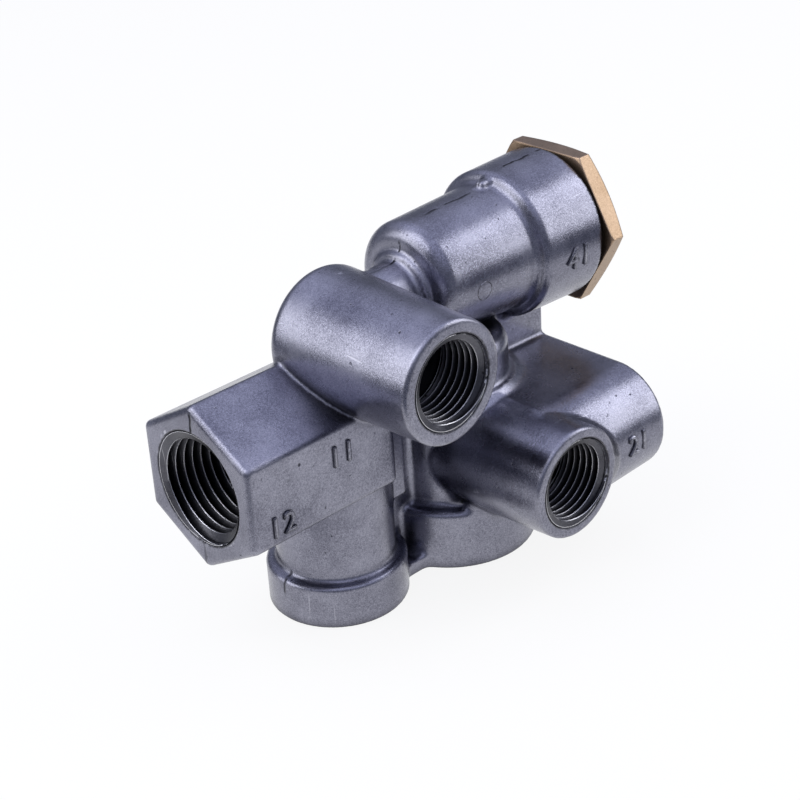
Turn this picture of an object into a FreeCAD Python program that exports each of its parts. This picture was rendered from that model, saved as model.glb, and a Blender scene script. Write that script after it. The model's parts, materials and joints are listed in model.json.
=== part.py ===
import FreeCAD, Part
import Sketcher
import math
import os
import re

# Parking brake control valve for a trailer air system, mounted on its air reservoir.
# One die casting carries a hexagonal reservoir port, a supply port, four delivery ports,
# a relay section, a pressure protection leg and a control cylinder that a brass port
# fitting closes.  The frame has its origin at the middle of the reservoir port's face:
# +X runs into the casting, towards the control port, -Y is the supply side, +Z is up.

doc = FreeCAD.newDocument("control_valve")

# Driving dimensions in millimetres.  Heights with the word level are measured up from
# the base plane, on which the leg and the relay section stand.
SIZES = [
    ("axis_height", 35.0, "reservoir port axis above the base plane"),
    ("cast_round", 1.2, "usual rounding of cast edges"),
    ("fine_round", 0.6, "rounding of small cast edges"),
    ("cast_fillet", 2.4, "inner rounding where the delivery bosses grow out of the relay barrel"),
    ("tap_lead", 2.0, "cone that the tap drill leaves behind a thread"),
    ("fit_gap", 0.05, "clearance of pieces that sit still"),
    ("run_gap", 0.08, "radial clearance of pieces that slide"),
    ("travel_spare", 0.45, "room that is left beyond each travel, before metal meets metal"),
    ("seal_cord", 1.8, "thickness of the O-rings"),
    ("seal_play", 0.15, "play of an O-ring on each side of its groove"),
    ("mouth_chamfer", 0.35, "chamfer at each threaded mouth"),
    ("res_flats", 27.5, "reservoir hexagon across flats"),
    ("res_boss_length", 33.5, "length of the reservoir hexagon"),
    ("res_thread_radius", 10.3, "half inch taper pipe thread, radius of the plain wall"),
    ("res_thread_depth", 16.0, "depth of the reservoir thread"),
    ("res_way_radius", 6.2, "way behind the reservoir thread"),
    ("res_way_end", 38.0, "how far in the reservoir way goes"),
    ("port_thread_radius", 8.3, "three eighths taper pipe thread, radius of the plain wall"),
    ("port_thread_depth", 11.5, "depth of the supply and delivery threads"),
    ("supply_x", 32.3, "supply axis from the reservoir face"),
    ("supply_z", 17.0, "supply axis above the reservoir axis"),
    ("supply_reach", 29.7, "supply mouth from the middle plane"),
    ("supply_back", 3.4, "closed supply end behind the middle plane"),
    ("supply_mouth_radius", 11.1, "supply boss at its mouth"),
    ("supply_back_radius", 12.3, "supply boss at its closed end"),
    ("supply_round", 2.6, "rounding of the closed supply end"),
    ("supply_way_radius", 5.5, "way behind the supply thread"),
    ("cross_way_radius", 3.0, "ways between the chambers"),
    ("link_half_width", 7.8, "half width of the block between leg and relay"),
    ("link_end", 41.0, "end of that block from the reservoir face"),
    ("link_low", 16.5, "underside of that block below the reservoir axis"),
    ("rib_half_width", 3.2, "half width of the rib between leg and relay"),
    ("foot_half_width", 7.5, "half width of the foot web between leg and relay"),
    ("foot_height", 2.8, "height of the foot web"),
    ("leg_x", 29.35, "leg axis from the reservoir face"),
    ("leg_radius", 11.1, "leg barrel"),
    ("leg_flange_radius", 13.1, "leg flange"),
    ("leg_flange_level", 8.6, "top of the leg flange"),
    ("leg_bore_radius", 9.0, "bore of the leg"),
    ("leg_bore_level", 20.5, "seat at the end of the leg bore"),
    ("leg_seat_radius", 4.2, "hole of the seat in the leg"),
    ("relay_x", 59.6, "relay axis from the reservoir face"),
    ("relay_disc_radius", 16.4, "relay skirt"),
    ("relay_disc_level", 12.2, "top of the relay skirt"),
    ("relay_barrel_radius", 13.6, "relay barrel"),
    ("relay_ledge_level", 34.2, "ledge at the top of the relay barrel"),
    ("relay_top_radius", 12.1, "relay head"),
    ("relay_top_level", 42.6, "top of the relay head"),
    ("relay_top_round", 3.0, "rounding of the relay head"),
    ("cover_bore_radius", 13.6, "bore for the exhaust cover"),
    ("chamber_level", 4.65, "shoulder above the exhaust cover"),
    ("chamber_radius", 12.6, "chamber around the inlet valve"),
    ("seat_bore_radius", 11.0, "bore for the inlet seat"),
    ("seat_bore_level", 12.5, "underside of the seat bore"),
    ("relay_bore_level", 16.6, "shoulder above the inlet seat"),
    ("relay_bore_radius", 9.6, "bore of the relay piston"),
    ("relay_bore_top", 39.5, "closed end of the relay bore"),
    ("delivery_z", 13.3, "delivery axes below the reservoir axis"),
    ("delivery_reach", 32.8, "side delivery mouths from the middle plane"),
    ("delivery_mouth_radius", 10.7, "side delivery boss at its mouth"),
    ("delivery_root_radius", 12.0, "side delivery boss at the middle plane"),
    ("delivery_way_radius", 4.8, "ways behind the delivery threads"),
    ("end_x", 85.5, "end delivery mouths from the reservoir face"),
    ("end_y", 21.2, "end delivery axes from the middle plane"),
    ("end_radius", 10.9, "end delivery bosses at their mouths"),
    ("end_draft", 1.2, "draft of the end bosses, degrees"),
    ("control_z", 19.8, "control axis above the reservoir axis"),
    ("control_left", 49.8, "closed end of the control cylinder"),
    ("control_step", 72.9, "step of the control cylinder"),
    ("control_end", 88.2, "mouth of the control cylinder"),
    ("control_small_radius", 11.5, "control cylinder at its closed end"),
    ("control_waist_radius", 12.4, "control cylinder before its step"),
    ("control_big_radius", 14.4, "control cylinder after its step"),
    ("control_mouth_radius", 14.85, "control cylinder at its mouth"),
    ("control_round", 3.0, "rounding of the closed control end"),
    ("control_step_round", 1.5, "rounding of the control step"),
    ("control_wall", 3.2, "wall of the closed control end"),
    ("control_bore_radius", 8.8, "bore of the control stem"),
    ("control_head_radius", 12.0, "bore of the control piston head"),
    ("control_spigot_start", 80.5, "start of the bore for the fitting"),
    ("control_spigot_radius", 12.7, "bore for the fitting's spigot"),
    ("neck_radius", 6.3, "neck between supply boss and control cylinder"),
    ("neck_z", 18.6, "neck axis above the reservoir axis"),
    ("web_thickness", 4.0, "web under the control cylinder"),
    ("web_end", 85.3, "end of that web"),
    ("fitting_flats", 28.9, "brass hexagon across flats"),
    ("fitting_gasket", 0.7, "gasket under the brass hexagon"),
    ("fitting_hex_length", 3.9, "thickness of the brass hexagon"),
    ("fitting_port_radius", 6.5, "quarter inch taper pipe thread, radius of the plain wall"),
    ("fitting_port_depth", 9.5, "depth of the control thread"),
    ("fitting_way_radius", 3.4, "way through the brass fitting"),
    ("control_travel", 2.2, "travel of the control piston"),
    ("control_head_length", 4.2, "thickness of the control piston head"),
    ("control_stem_length", 18.0, "length of the control piston stem"),
    ("control_pocket_radius", 7.2, "spring pocket in the control stem"),
    ("control_pocket_depth", 10.0, "depth of that pocket"),
    ("control_coil_radius", 6.1, "mean radius of the control spring"),
    ("control_wire", 1.1, "wire of the control spring"),
    ("control_turns", 7, "turns of the control spring"),
    ("relay_head_length", 6.4, "thickness of the relay piston head"),
    ("relay_hollow_radius", 6.3, "hollow under the relay piston head"),
    ("relay_hollow_depth", 3.5, "depth of that hollow"),
    ("relay_stem_radius", 3.3, "stem of the relay piston"),
    ("relay_travel", 1.4, "travel of the relay piston until it meets the inlet valve"),
    ("inlet_travel", 1.6, "opening travel of the inlet valve"),
    ("seat_hole_radius", 5.2, "hole of the inlet seat"),
    ("seat_lip", 0.5, "height of the inlet seat's lip"),
    ("face_thickness", 0.95, "thickness of the rubber valve faces"),
    ("inlet_disc_radius", 7.4, "disc of the inlet valve"),
    ("inlet_disc_thickness", 1.2, "thickness of that disc"),
    ("inlet_tube_radius", 3.6, "guide tube of the inlet valve"),
    ("inlet_hole_radius", 2.3, "exhaust hole through the inlet valve"),
    ("inlet_tube_length", 4.6, "length of the guide tube"),
    ("inlet_coil_radius", 5.9, "mean radius of the inlet spring"),
    ("inlet_wire", 0.8, "wire of the inlet spring"),
    ("inlet_turns", 4.5, "turns of the inlet spring"),
    ("ring_level", 0.75, "underside of the retaining rings"),
    ("ring_thickness", 1.1, "thickness of the retaining rings"),
    ("ring_bite", 0.9, "depth of the ring grooves"),
    ("relay_ring_width", 2.4, "radial width of the relay ring"),
    ("relay_lug_radius", 1.7, "lugs of the relay ring"),
    ("leg_ring_width", 2.2, "radial width of the leg ring"),
    ("leg_lug_radius", 1.4, "lugs of the leg ring"),
    ("cover_plate", 1.3, "plate of the exhaust cover"),
    ("cover_skirt", 3.0, "wall of the exhaust cover's skirt"),
    ("cover_guide_wall", 1.0, "wall of the guide in the exhaust cover"),
    ("grille_thickness", 0.8, "exhaust grille"),
    ("grille_holes", 6, "number of holes in the exhaust grille"),
    ("grille_hole_radius", 1.9, "one of those holes"),
    ("grille_pitch_radius", 6.2, "circle on which those holes lie"),
    ("flap_radius", 8.8, "rubber exhaust flap"),
    ("flap_thickness", 0.75, "thickness of the flap"),
    ("flap_stem_radius", 1.3, "stem that holds the flap in the grille"),
    ("leg_cap_length", 3.65, "thickness of the leg's end cap"),
    ("leg_cap_boss_radius", 3.5, "spring boss on the end cap"),
    ("leg_dish_radius", 5.2, "dish in the underside of the end cap"),
    ("leg_travel", 3.0, "travel of the protection valve"),
    ("leg_skirt_length", 5.4, "guide skirt of the protection valve"),
    ("leg_head_radius", 6.6, "head of the protection valve"),
    ("leg_head_length", 1.2, "height of that head"),
    ("leg_pocket_radius", 5.9, "spring pocket of the protection valve"),
    ("leg_pocket_depth", 4.0, "depth of that pocket"),
    ("leg_coil_radius", 4.8, "mean radius of the protection spring"),
    ("leg_wire", 1.2, "wire of the protection spring"),
    ("leg_turns", 6, "turns of the protection spring"),
    ("spring_sides", 6, "sides of the spring wire, which keep its surface light"),
]

sheet = doc.addObject("Spreadsheet::Sheet", "Sizes")
for row, (alias, size, meaning) in enumerate(SIZES, start=1):
    sheet.set(f"A{row}", meaning)
    sheet.set(f"B{row}", str(size))
    sheet.setAlias(f"B{row}", alias)
doc.recompute()

KNOWN = {alias for alias, _, _ in SIZES}
ROT_TO_X = FreeCAD.Rotation(FreeCAD.Vector(0, 1, 0), 90)
ROT_TO_Y = FreeCAD.Rotation(FreeCAD.Vector(1, 0, 0), -90)
ROT_HEX_SIDE = FreeCAD.Rotation(FreeCAD.Vector(1, 1, 1), 120)
NO_TURN = FreeCAD.Rotation()


def cell(formula):
    """Write a formula of plain size names as an expression on the sheet."""
    return re.sub(r"[a-z_]+", lambda word: f"Sizes.{word.group()}" if word.group() in KNOWN
                  else word.group(), formula)


def size(alias):
    """Read one size from the sheet."""
    return float(sheet.get(alias))


def place(thing, x="0", y="0", z="0", turn=NO_TURN):
    """Bind the place of an object to the sheet."""
    thing.Placement = FreeCAD.Placement(FreeCAD.Vector(), turn)
    for letter, formula in zip("xyz", (x, y, z)):
        thing.setExpression(f"Placement.Base.{letter}", cell(formula))
    return thing


def cylinder(label, radius, length, turn=NO_TURN, x="0", y="0", z="0"):
    """A cylinder that starts at the given place and runs along the turned Z."""
    thing = doc.addObject("Part::Cylinder", label)
    thing.setExpression("Radius", cell(radius))
    thing.setExpression("Height", cell(length))
    return place(thing, x, y, z, turn)


def cone(label, radius_start, radius_end, length, turn=NO_TURN, x="0", y="0", z="0"):
    """A cone that starts at the given place and runs along the turned Z."""
    thing = doc.addObject("Part::Cone", label)
    thing.setExpression("Radius1", cell(radius_start))
    thing.setExpression("Radius2", cell(radius_end))
    thing.setExpression("Height", cell(length))
    return place(thing, x, y, z, turn)


def block(label, length, width, height, x, y, z):
    """A box from its lowest corner."""
    thing = doc.addObject("Part::Box", label)
    for side, formula in (("Length", length), ("Width", width), ("Height", height)):
        thing.setExpression(side, cell(formula))
    return place(thing, x, y, z)


def hexagon(label, flats, length, turn, x, y, z):
    """A hexagonal prism along the turned Z, sized across its flats."""
    thing = doc.addObject("Part::Prism", label)
    thing.Polygon = 6
    thing.setExpression("Circumradius", cell(f"({flats}) / sqrt(3)"))
    thing.setExpression("Height", cell(length))
    return place(thing, x, y, z, turn)


def fuse(label, pieces):
    """Join pieces of one casting or turning."""
    thing = doc.addObject("Part::MultiFuse", label)
    thing.Shapes = pieces
    thing.Refine = True
    return thing


def cut(label, base, tools):
    """Take the tools out of the base."""
    thing = doc.addObject("Part::Cut", label)
    thing.Base = base
    thing.Tool = tools[0] if len(tools) == 1 else fuse(label + "_tools", tools)
    thing.Refine = True
    return thing


PROFILE_PLANES = {"X": ("XZ_Plane", "H_Axis"), "Y": ("XY_Plane", "V_Axis"), "Z": ("XZ_Plane", "V_Axis")}


def turned(label, axis, profile, x="0", y="0", z="0", rounds=()):
    """A turned piece: its profile is a closed list of (along, radius) formulas.

    rounds is a list of (size, corners): each corner is the index of a profile point,
    whose circular edge gets that rounding.
    """
    body = doc.addObject("PartDesign::Body", label)
    plane_role, axis_name = PROFILE_PLANES[axis]
    plane = next(item for item in body.Origin.OriginFeatures if item.Role == plane_role)
    sketch = body.newObject("Sketcher::SketchObject", label + "_profile")
    sketch.AttachmentSupport = [(plane, "")]
    sketch.MapMode = "FlatFace"
    count = len(profile)
    corners = [FreeCAD.Vector(math.cos(2 * math.pi * k / count) + 2, math.sin(2 * math.pi * k / count) + 2, 0)
               for k in range(count)]
    for k in range(count):
        sketch.addGeometry(Part.LineSegment(corners[k], corners[(k + 1) % count]), False)
    for k in range(count):
        sketch.addConstraint(Sketcher.Constraint("Coincident", k, 2, (k + 1) % count, 1))
    across, up = ("along", "radius") if axis == "X" else ("radius", "along")
    for k, (along, radius) in enumerate(profile):
        formulas = {"along": along, "radius": radius}
        for direction, line, kind in ((across, -2, "DistanceX"), (up, -1, "DistanceY")):
            if formulas[direction] == "0":
                sketch.addConstraint(Sketcher.Constraint("PointOnObject", k, 1, line))
                continue
            index = sketch.addConstraint(Sketcher.Constraint(kind, -1, 1, k, 1, corners[k][kind == "DistanceY"]))
            sketch.renameConstraint(index, f"{direction}_{k}")
            sketch.setExpression(f"Constraints.{direction}_{k}", cell(formulas[direction]))
    turn = body.newObject("PartDesign::Revolution", label + "_turn")
    turn.Profile = sketch
    turn.ReferenceAxis = (sketch, [axis_name])
    turn.Angle = 360
    doc.recompute()
    feature = turn
    for number, (amount, places) in enumerate(rounds):
        edges = []
        for k in places:
            point = sketch.Geometry[k].StartPoint
            along, radius = (point.x, point.y) if axis == "X" else (point.y, point.x)
            edges.append(circle_edge(feature.Shape, "XYZ".index(axis), along, radius))
        rounding = body.newObject("PartDesign::Fillet", f"{label}_round_{number}")
        rounding.Base = (feature, edges)
        rounding.setExpression("Radius", cell(amount))
        doc.recompute()
        feature = rounding
    return place(body, x, y, z)


def circle_edge(shape, axis, along, radius):
    """Name the circular edge with this radius at this station of the axis."""
    def miss(edge):
        curve = edge.Curve
        if not isinstance(curve, Part.Circle):
            return math.inf
        return abs(curve.Center[axis] - along) + abs(curve.Radius - radius)
    number = min(range(len(shape.Edges)), key=lambda k: miss(shape.Edges[k]))
    return f"Edge{number + 1}"


def seal_ring(label, bore, gap, axis, station, x="0", y="0", z="0"):
    """An O-ring between a groove and its bore; its cord has eight sides, to stay light."""
    outer = f"{bore} - {gap}"
    flat = "seal_cord * tan(22.5 deg) / 2"
    half = "seal_cord / 2"
    shoulder = f"({outer} - {half} + {flat})"
    heel = f"({outer} - {half} - {flat})"
    return turned(label, axis, [
        (f"{station} - {flat}", outer), (f"{station} + {flat}", outer), (f"{station} + {half}", shoulder),
        (f"{station} + {half}", heel), (f"{station} + {flat}", f"{outer} - seal_cord"),
        (f"{station} - {flat}", f"{outer} - seal_cord"), (f"{station} - {half}", heel),
        (f"{station} - {half}", shoulder)], x, y, z)


def groove(profile_radius, bore, gap, station):
    """Four profile points of an O-ring groove in a turned piece, with its middle at station."""
    floor = f"{bore} - {gap} - seal_cord - fit_gap / 2"
    low, high = f"{station} - seal_cord / 2 - seal_play", f"{station} + seal_cord / 2 + seal_play"
    return [(low, profile_radius), (low, floor), (high, floor), (high, profile_radius)]


def coil_spring(label, start, end, mean_radius, wire, turns, turn, x, y, z):
    """A compression spring with closed, ground ends, between two stations of its axis."""
    length = end - start
    closed = wire * 1.03
    pitch = (length - 2 * closed) / (turns - 2)
    stretches = [(closed, closed), (pitch, length - 2 * closed), (closed, closed)]
    base, edges, angle = 0.0, [], 0.0
    for rise, height in stretches:
        helix = Part.makeHelix(rise, height, mean_radius)
        helix.Placement = FreeCAD.Placement(FreeCAD.Vector(0, 0, base), FreeCAD.Rotation(FreeCAD.Vector(0, 0, 1), angle))
        edges += helix.Edges
        base += height
        angle += 360.0 * height / rise
    sides = int(size("spring_sides"))
    middle = FreeCAD.Vector(mean_radius, 0, 0)
    corners = []
    for k in range(sides + 1):
        turned_by = math.radians(360.0 * (k + 0.5) / sides)
        corners.append(middle + FreeCAD.Vector(math.cos(turned_by), 0, math.sin(turned_by)) * (wire / 2))
    coil = Part.Wire(edges).makePipeShell([Part.makePolygon(corners)], True, True)
    room = Part.makeCylinder(mean_radius + 2 * wire, length)
    spring = doc.addObject("Part::Feature", label)
    spring.Shape = coil.common(room)
    spring.Placement = FreeCAD.Placement(FreeCAD.Vector(x, y, z) + turn.multVec(FreeCAD.Vector(0, 0, start)), turn)
    return spring


def first_feature(label, kind, sizes):
    """A new body that starts with one solid primitive, and that primitive."""
    body = doc.addObject("PartDesign::Body", label)
    solid = body.newObject(kind, label + "_solid")
    for side, formula in sizes.items():
        solid.setExpression(side, cell(formula))
    doc.recompute()
    return body, solid


def round_all(body, solid, amount, wanted):
    """Round the edges of a body's first solid that the test wants."""
    edges = [f"Edge{k}" for k, edge in enumerate(solid.Shape.Edges, start=1) if wanted(edge)]
    rounding = body.newObject("PartDesign::Fillet", body.Name + "_round")
    rounding.Base = (solid, edges)
    rounding.setExpression("Radius", cell(amount))
    doc.recompute()


def inner_corner(shape, edge):
    """Whether the two faces of an edge meet in an inner corner, and enclose an angle."""
    faces = shape.ancestorsOfType(edge, Part.Face)
    if len(faces) != 2:
        return False
    middle = edge.valueAt(sum(edge.ParameterRange) / 2)
    first, second = (face.normalAt(*face.Surface.parameter(middle)) for face in faces)
    return first.dot(second) < 0.97 and shape.isInside(middle + (first - second) * 0.05, 1e-5, False)


def joined_with_fillets(label, pieces, amount, wanted):
    """Forms joined with a cast fillet in the inner corners that the test wants.

    The fillet shrinks until it fits, and the corners stay as they are where none does.
    """
    joined = fuse(label + "_join", pieces)
    doc.recompute()
    body = doc.addObject("PartDesign::Body", label)
    body.BaseFeature = joined
    doc.recompute()
    shape = joined.Shape
    edges = [f"Edge{k}" for k, edge in enumerate(shape.Edges, start=1)
             if wanted(edge.BoundBox.Center) and inner_corner(shape, edge)]
    rounding = body.newObject("PartDesign::Fillet", label + "_fillet")
    rounding.Base = (body.Group[0], edges)
    for share in ("1", "0.8", "0.6", "0.4", "0.2"):
        rounding.setExpression("Radius", cell(f"({amount}) * {share}"))
        doc.recompute()
        if rounding.isValid() and rounding.Shape.isValid() and len(rounding.Shape.Solids) == 1:
            return body
    body.removeObject(rounding)
    doc.removeObject(rounding.Name)
    doc.recompute()
    return body


INWARD = {
    "-X": ROT_TO_X,
    "+X": FreeCAD.Rotation(FreeCAD.Vector(0, 1, 0), -90),
    "-Y": ROT_TO_Y,
    "+Y": FreeCAD.Rotation(FreeCAD.Vector(1, 0, 0), 90),
}


def behind(thing, side, depth, x, y, z):
    """Set a tool as far behind a mouth as its thread is deep."""
    sign = "-" if side[0] == "+" else "+"
    along = {"X": (f"{x} {sign} {depth}", y, z), "Y": (x, f"{y} {sign} {depth}", z)}[side[1]]
    return place(thing, *along, turn=INWARD[side])


def mouth(label, side, radius, depth, way, way_length, x, y, z):
    """The tools for a threaded mouth: its plain wall, its chamfer, and the drill's cone and way behind it."""
    turn = INWARD[side]
    return [
        cylinder(label + "_wall", radius, depth, turn, x, y, z),
        cone(label + "_chamfer", f"{radius} + mouth_chamfer", radius, "mouth_chamfer", turn, x, y, z),
        behind(cone(label + "_lead", radius, way, "tap_lead", turn), side, depth, x, y, z),
        cylinder(label + "_way", way, way_length, turn, x, y, z),
    ]


def reservoir_hexagon():
    """The hexagon that a spanner turns when the valve goes on its reservoir nipple."""
    body, solid = first_feature("reservoir_hexagon", "PartDesign::AdditivePrism",
                                {"Circumradius": "res_flats / sqrt(3)", "Height": "res_boss_length"})
    round_all(body, solid, "cast_round", lambda edge: True)
    return place(body, turn=ROT_TO_X)


def end_manifold():
    """The bar that carries the two end delivery bosses: a slot outline with draft."""
    body = doc.addObject("PartDesign::Body", "end_manifold")
    plane = next(item for item in body.Origin.OriginFeatures if item.Role == "YZ_Plane")
    sketch = body.newObject("Sketcher::SketchObject", "end_outline")
    sketch.AttachmentSupport = [(plane, "")]
    sketch.MapMode = "FlatFace"
    reach, radius = size("end_y"), size("end_radius")
    half = math.pi / 2
    up = FreeCAD.Vector(0, 0, 1)
    right = Part.Circle(FreeCAD.Vector(reach, 0, 0), up, radius)
    left = Part.Circle(FreeCAD.Vector(-reach, 0, 0), up, radius)
    sketch.addGeometry(Part.ArcOfCircle(right, -half, half), False)
    sketch.addGeometry(Part.ArcOfCircle(left, half, 3 * half), False)
    sketch.addGeometry(Part.LineSegment(FreeCAD.Vector(reach, radius, 0), FreeCAD.Vector(-reach, radius, 0)), False)
    sketch.addGeometry(Part.LineSegment(FreeCAD.Vector(-reach, -radius, 0), FreeCAD.Vector(reach, -radius, 0)), False)
    for one, one_end, other, other_end in ((0, 2, 2, 1), (2, 2, 1, 1), (1, 2, 3, 1), (3, 2, 0, 1)):
        sketch.addConstraint(Sketcher.Constraint("Tangent", one, one_end, other, other_end))
    sketch.addConstraint(Sketcher.Constraint("PointOnObject", 0, 3, -1))
    sketch.addConstraint(Sketcher.Constraint("Symmetric", 0, 3, 1, 3, -2))
    for name, constraint, formula in (
            ("radius", Sketcher.Constraint("Radius", 0, radius), "end_radius"),
            ("reach", Sketcher.Constraint("DistanceX", -1, 1, 0, 3, reach), "end_y")):
        sketch.renameConstraint(sketch.addConstraint(constraint), name)
        sketch.setExpression(f"Constraints.{name}", cell(formula))
    pad = body.newObject("PartDesign::Pad", "end_pad")
    pad.Profile = sketch
    pad.Reversed = True
    pad.setExpression("Length", cell("end_x - relay_x"))
    pad.setExpression("TaperAngle", cell("end_draft"))
    doc.recompute()
    round_all(body, pad, "fine_round", lambda edge: all(abs(v.X) < 1e-6 for v in edge.Vertexes))
    return place(body, x="end_x", z="-delivery_z")


def rounded_block(label, length, width, height, x, y, z, amount):
    """A block whose upright edges are rounded."""
    body, solid = first_feature(label, "PartDesign::AdditiveBox",
                                {"Length": length, "Width": width, "Height": height})
    round_all(body, solid, amount, lambda edge: abs(edge.tangentAt(edge.FirstParameter).z) > 0.9)
    return place(body, x, y, z)


LEG = {"x": "leg_x", "z": "-axis_height"}
RELAY = {"x": "relay_x", "z": "-axis_height"}
CONTROL = {"z": "control_z"}


def valve_body():
    """The die casting with every port, drilled from its blank."""
    flange_step = "(leg_flange_radius - leg_radius) * 0.48"
    ledge_step = "(relay_barrel_radius - relay_top_radius) * 0.45"
    skirt_step = "min(cast_round; (relay_disc_radius - relay_barrel_radius) * 0.45)"
    control_step = "(control_big_radius - control_waist_radius) * 0.48"
    leg = turned("leg_form", "Z", [
        ("0", "0"), ("0", "leg_flange_radius"), ("leg_flange_level", "leg_flange_radius"),
        ("leg_flange_level", "leg_radius"), ("axis_height - 4", "leg_radius"), ("axis_height - 4", "0")],
        rounds=[("fine_round", [1]), (flange_step, [2, 3])], **LEG)
    relay = turned("relay_form", "Z", [
        ("0", "0"), ("0", "relay_disc_radius"), ("relay_disc_level", "relay_disc_radius"),
        ("relay_disc_level", "relay_barrel_radius"), ("relay_ledge_level", "relay_barrel_radius"),
        ("relay_ledge_level", "relay_top_radius"), ("relay_top_level", "relay_top_radius"),
        ("relay_top_level", "0")],
        rounds=[("fine_round", [1]), (skirt_step, [2, 3]), (ledge_step, [4, 5]),
                ("relay_top_round", [6])], **RELAY)
    supply = turned("supply_form", "Y", [
        ("-supply_reach", "0"), ("-supply_reach", "supply_mouth_radius"),
        ("supply_back", "supply_back_radius"), ("supply_back", "0")],
        x="supply_x", z="supply_z", rounds=[("fine_round", [1]), ("supply_round", [2])])
    sides = turned("side_delivery_form", "Y", [
        ("-delivery_reach", "0"), ("-delivery_reach", "delivery_mouth_radius"), ("0", "delivery_root_radius"),
        ("delivery_reach", "delivery_mouth_radius"), ("delivery_reach", "0")],
        x="relay_x", z="-delivery_z", rounds=[("fine_round", [1, 3])])
    control = turned("control_form", "X", [
        ("control_left", "0"), ("control_left", "control_small_radius"), ("control_step", "control_waist_radius"),
        ("control_step", "control_big_radius"), ("control_end", "control_mouth_radius"), ("control_end", "0")],
        rounds=[("control_round", [1]), (control_step, [2, 3]), ("fine_round", [4])], **CONTROL)
    neck = turned("neck_form", "X", [
        ("supply_x - neck_radius", "0"), ("supply_x - neck_radius", "neck_radius"), ("control_left", "neck_radius"),
        ("control_left", "neck_radius + cast_round * 1.25"),
        ("control_left + cast_round", "neck_radius + cast_round * 1.25"), ("control_left + cast_round", "0")],
        z="neck_z", rounds=[("neck_radius * 0.9", [1]), ("cast_round", [2])])
    link = rounded_block("link_form", "link_end - leg_x", "2 * link_half_width", "link_low + supply_z / 2",
                         "leg_x", "-link_half_width", "-link_low", "fine_round")
    rib = block("rib_form", "relay_x - leg_x", "2 * rib_half_width", "axis_height - foot_height / 2",
                "leg_x", "-rib_half_width", "-axis_height + foot_height / 2")
    foot = block("foot_form", "relay_x - leg_x", "2 * foot_half_width", "foot_height",
                 "leg_x", "-foot_half_width", "-axis_height")
    web = rounded_block("web_form", "web_end - relay_x", "web_thickness", "control_z + delivery_z",
                        "relay_x", "-web_thickness / 2", "-delivery_z", "web_thickness / 4")
    bar = end_manifold()
    barrel_core = cylinder("barrel_core", "relay_barrel_radius", f"relay_ledge_level - {ledge_step}", **RELAY)
    crossing = joined_with_fillets("side_crossing", [barrel_core, sides], "cast_fillet", lambda middle: True)
    below = -size("delivery_z") + size("end_radius") * 0.8
    underside = joined_with_fillets("bar_underside", [relay, bar], "cast_fillet * 0.6",
                                     lambda middle: middle.z < below)
    blank = fuse("casting_blank", [reservoir_hexagon(), leg, supply, crossing, underside, control, neck, link, rib,
                                   foot, web])

    relay_bore = turned("relay_bore_tool", "Z", [
        ("0", "0"), ("0", "cover_bore_radius"), ("ring_level - fit_gap", "cover_bore_radius"),
        ("ring_level - fit_gap", "cover_bore_radius + ring_bite"),
        ("ring_level + ring_thickness + fit_gap", "cover_bore_radius + ring_bite"),
        ("ring_level + ring_thickness + fit_gap", "cover_bore_radius"), ("chamber_level", "cover_bore_radius"),
        ("chamber_level", "chamber_radius"), ("seat_bore_level", "chamber_radius"),
        ("seat_bore_level", "seat_bore_radius"), ("relay_bore_level", "seat_bore_radius"),
        ("relay_bore_level", "relay_bore_radius"), ("relay_bore_top", "relay_bore_radius"),
        ("relay_bore_top", "0")], **RELAY)
    leg_bore = turned("leg_bore_tool", "Z", [
        ("0", "0"), ("0", "leg_bore_radius"), ("ring_level - fit_gap", "leg_bore_radius"),
        ("ring_level - fit_gap", "leg_bore_radius + ring_bite"),
        ("ring_level + ring_thickness + fit_gap", "leg_bore_radius + ring_bite"),
        ("ring_level + ring_thickness + fit_gap", "leg_bore_radius"), ("leg_bore_level", "leg_bore_radius"),
        ("leg_bore_level", "leg_seat_radius"), ("axis_height", "leg_seat_radius"), ("axis_height", "0")], **LEG)
    head_bore_start = "control_spigot_start - fit_gap - control_head_length - control_travel - travel_spare"
    control_bore = turned("control_bore_tool", "X", [
        ("control_left + control_wall", "0"), ("control_left + control_wall", "control_bore_radius"),
        (head_bore_start, "control_bore_radius"), (head_bore_start, "control_head_radius"),
        ("control_spigot_start", "control_head_radius"), ("control_spigot_start", "control_spigot_radius"),
        ("control_end", "control_spigot_radius"), ("control_end", "0")], **CONTROL)
    tools = [relay_bore, leg_bore, control_bore]
    tools += mouth("reservoir_port", "-X", "res_thread_radius", "res_thread_depth", "res_way_radius",
                   "res_way_end", "0", "0", "0")
    tools += mouth("supply_port", "-Y", "port_thread_radius", "port_thread_depth", "supply_way_radius",
                   "supply_reach", "supply_x", "-supply_reach", "supply_z")
    for name, side, sign in (("near", "-Y", "-"), ("far", "+Y", "")):
        tools += mouth(f"{name}_side_port", side, "port_thread_radius", "port_thread_depth",
                       "delivery_way_radius", "delivery_reach", "relay_x", f"{sign}delivery_reach", "-delivery_z")
        tools += mouth(f"{name}_end_port", "+X", "port_thread_radius", "port_thread_depth",
                       "delivery_way_radius", "end_x - relay_x", "end_x", f"{sign}end_y", "-delivery_z")
    tools += [
        cylinder("supply_drop", "cross_way_radius", "supply_z", NO_TURN, "supply_x",
                 "-cross_way_radius * 1.5", "0"),
        cylinder("neck_way", "cross_way_radius", "control_left + control_wall * 1.5 - supply_x", ROT_TO_X,
                 "supply_x", "0", "neck_z"),
        cylinder("signal_way", "cross_way_radius / 2", "control_z + axis_height - relay_bore_top", NO_TURN,
                 "relay_x", "0", "relay_bore_top - axis_height"),
        cylinder("leg_way", "cross_way_radius * 0.7", "relay_x - leg_x", ROT_TO_X, "leg_x", "0",
                 "(chamber_level + seat_bore_level) / 2 - axis_height"),
    ]
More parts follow.
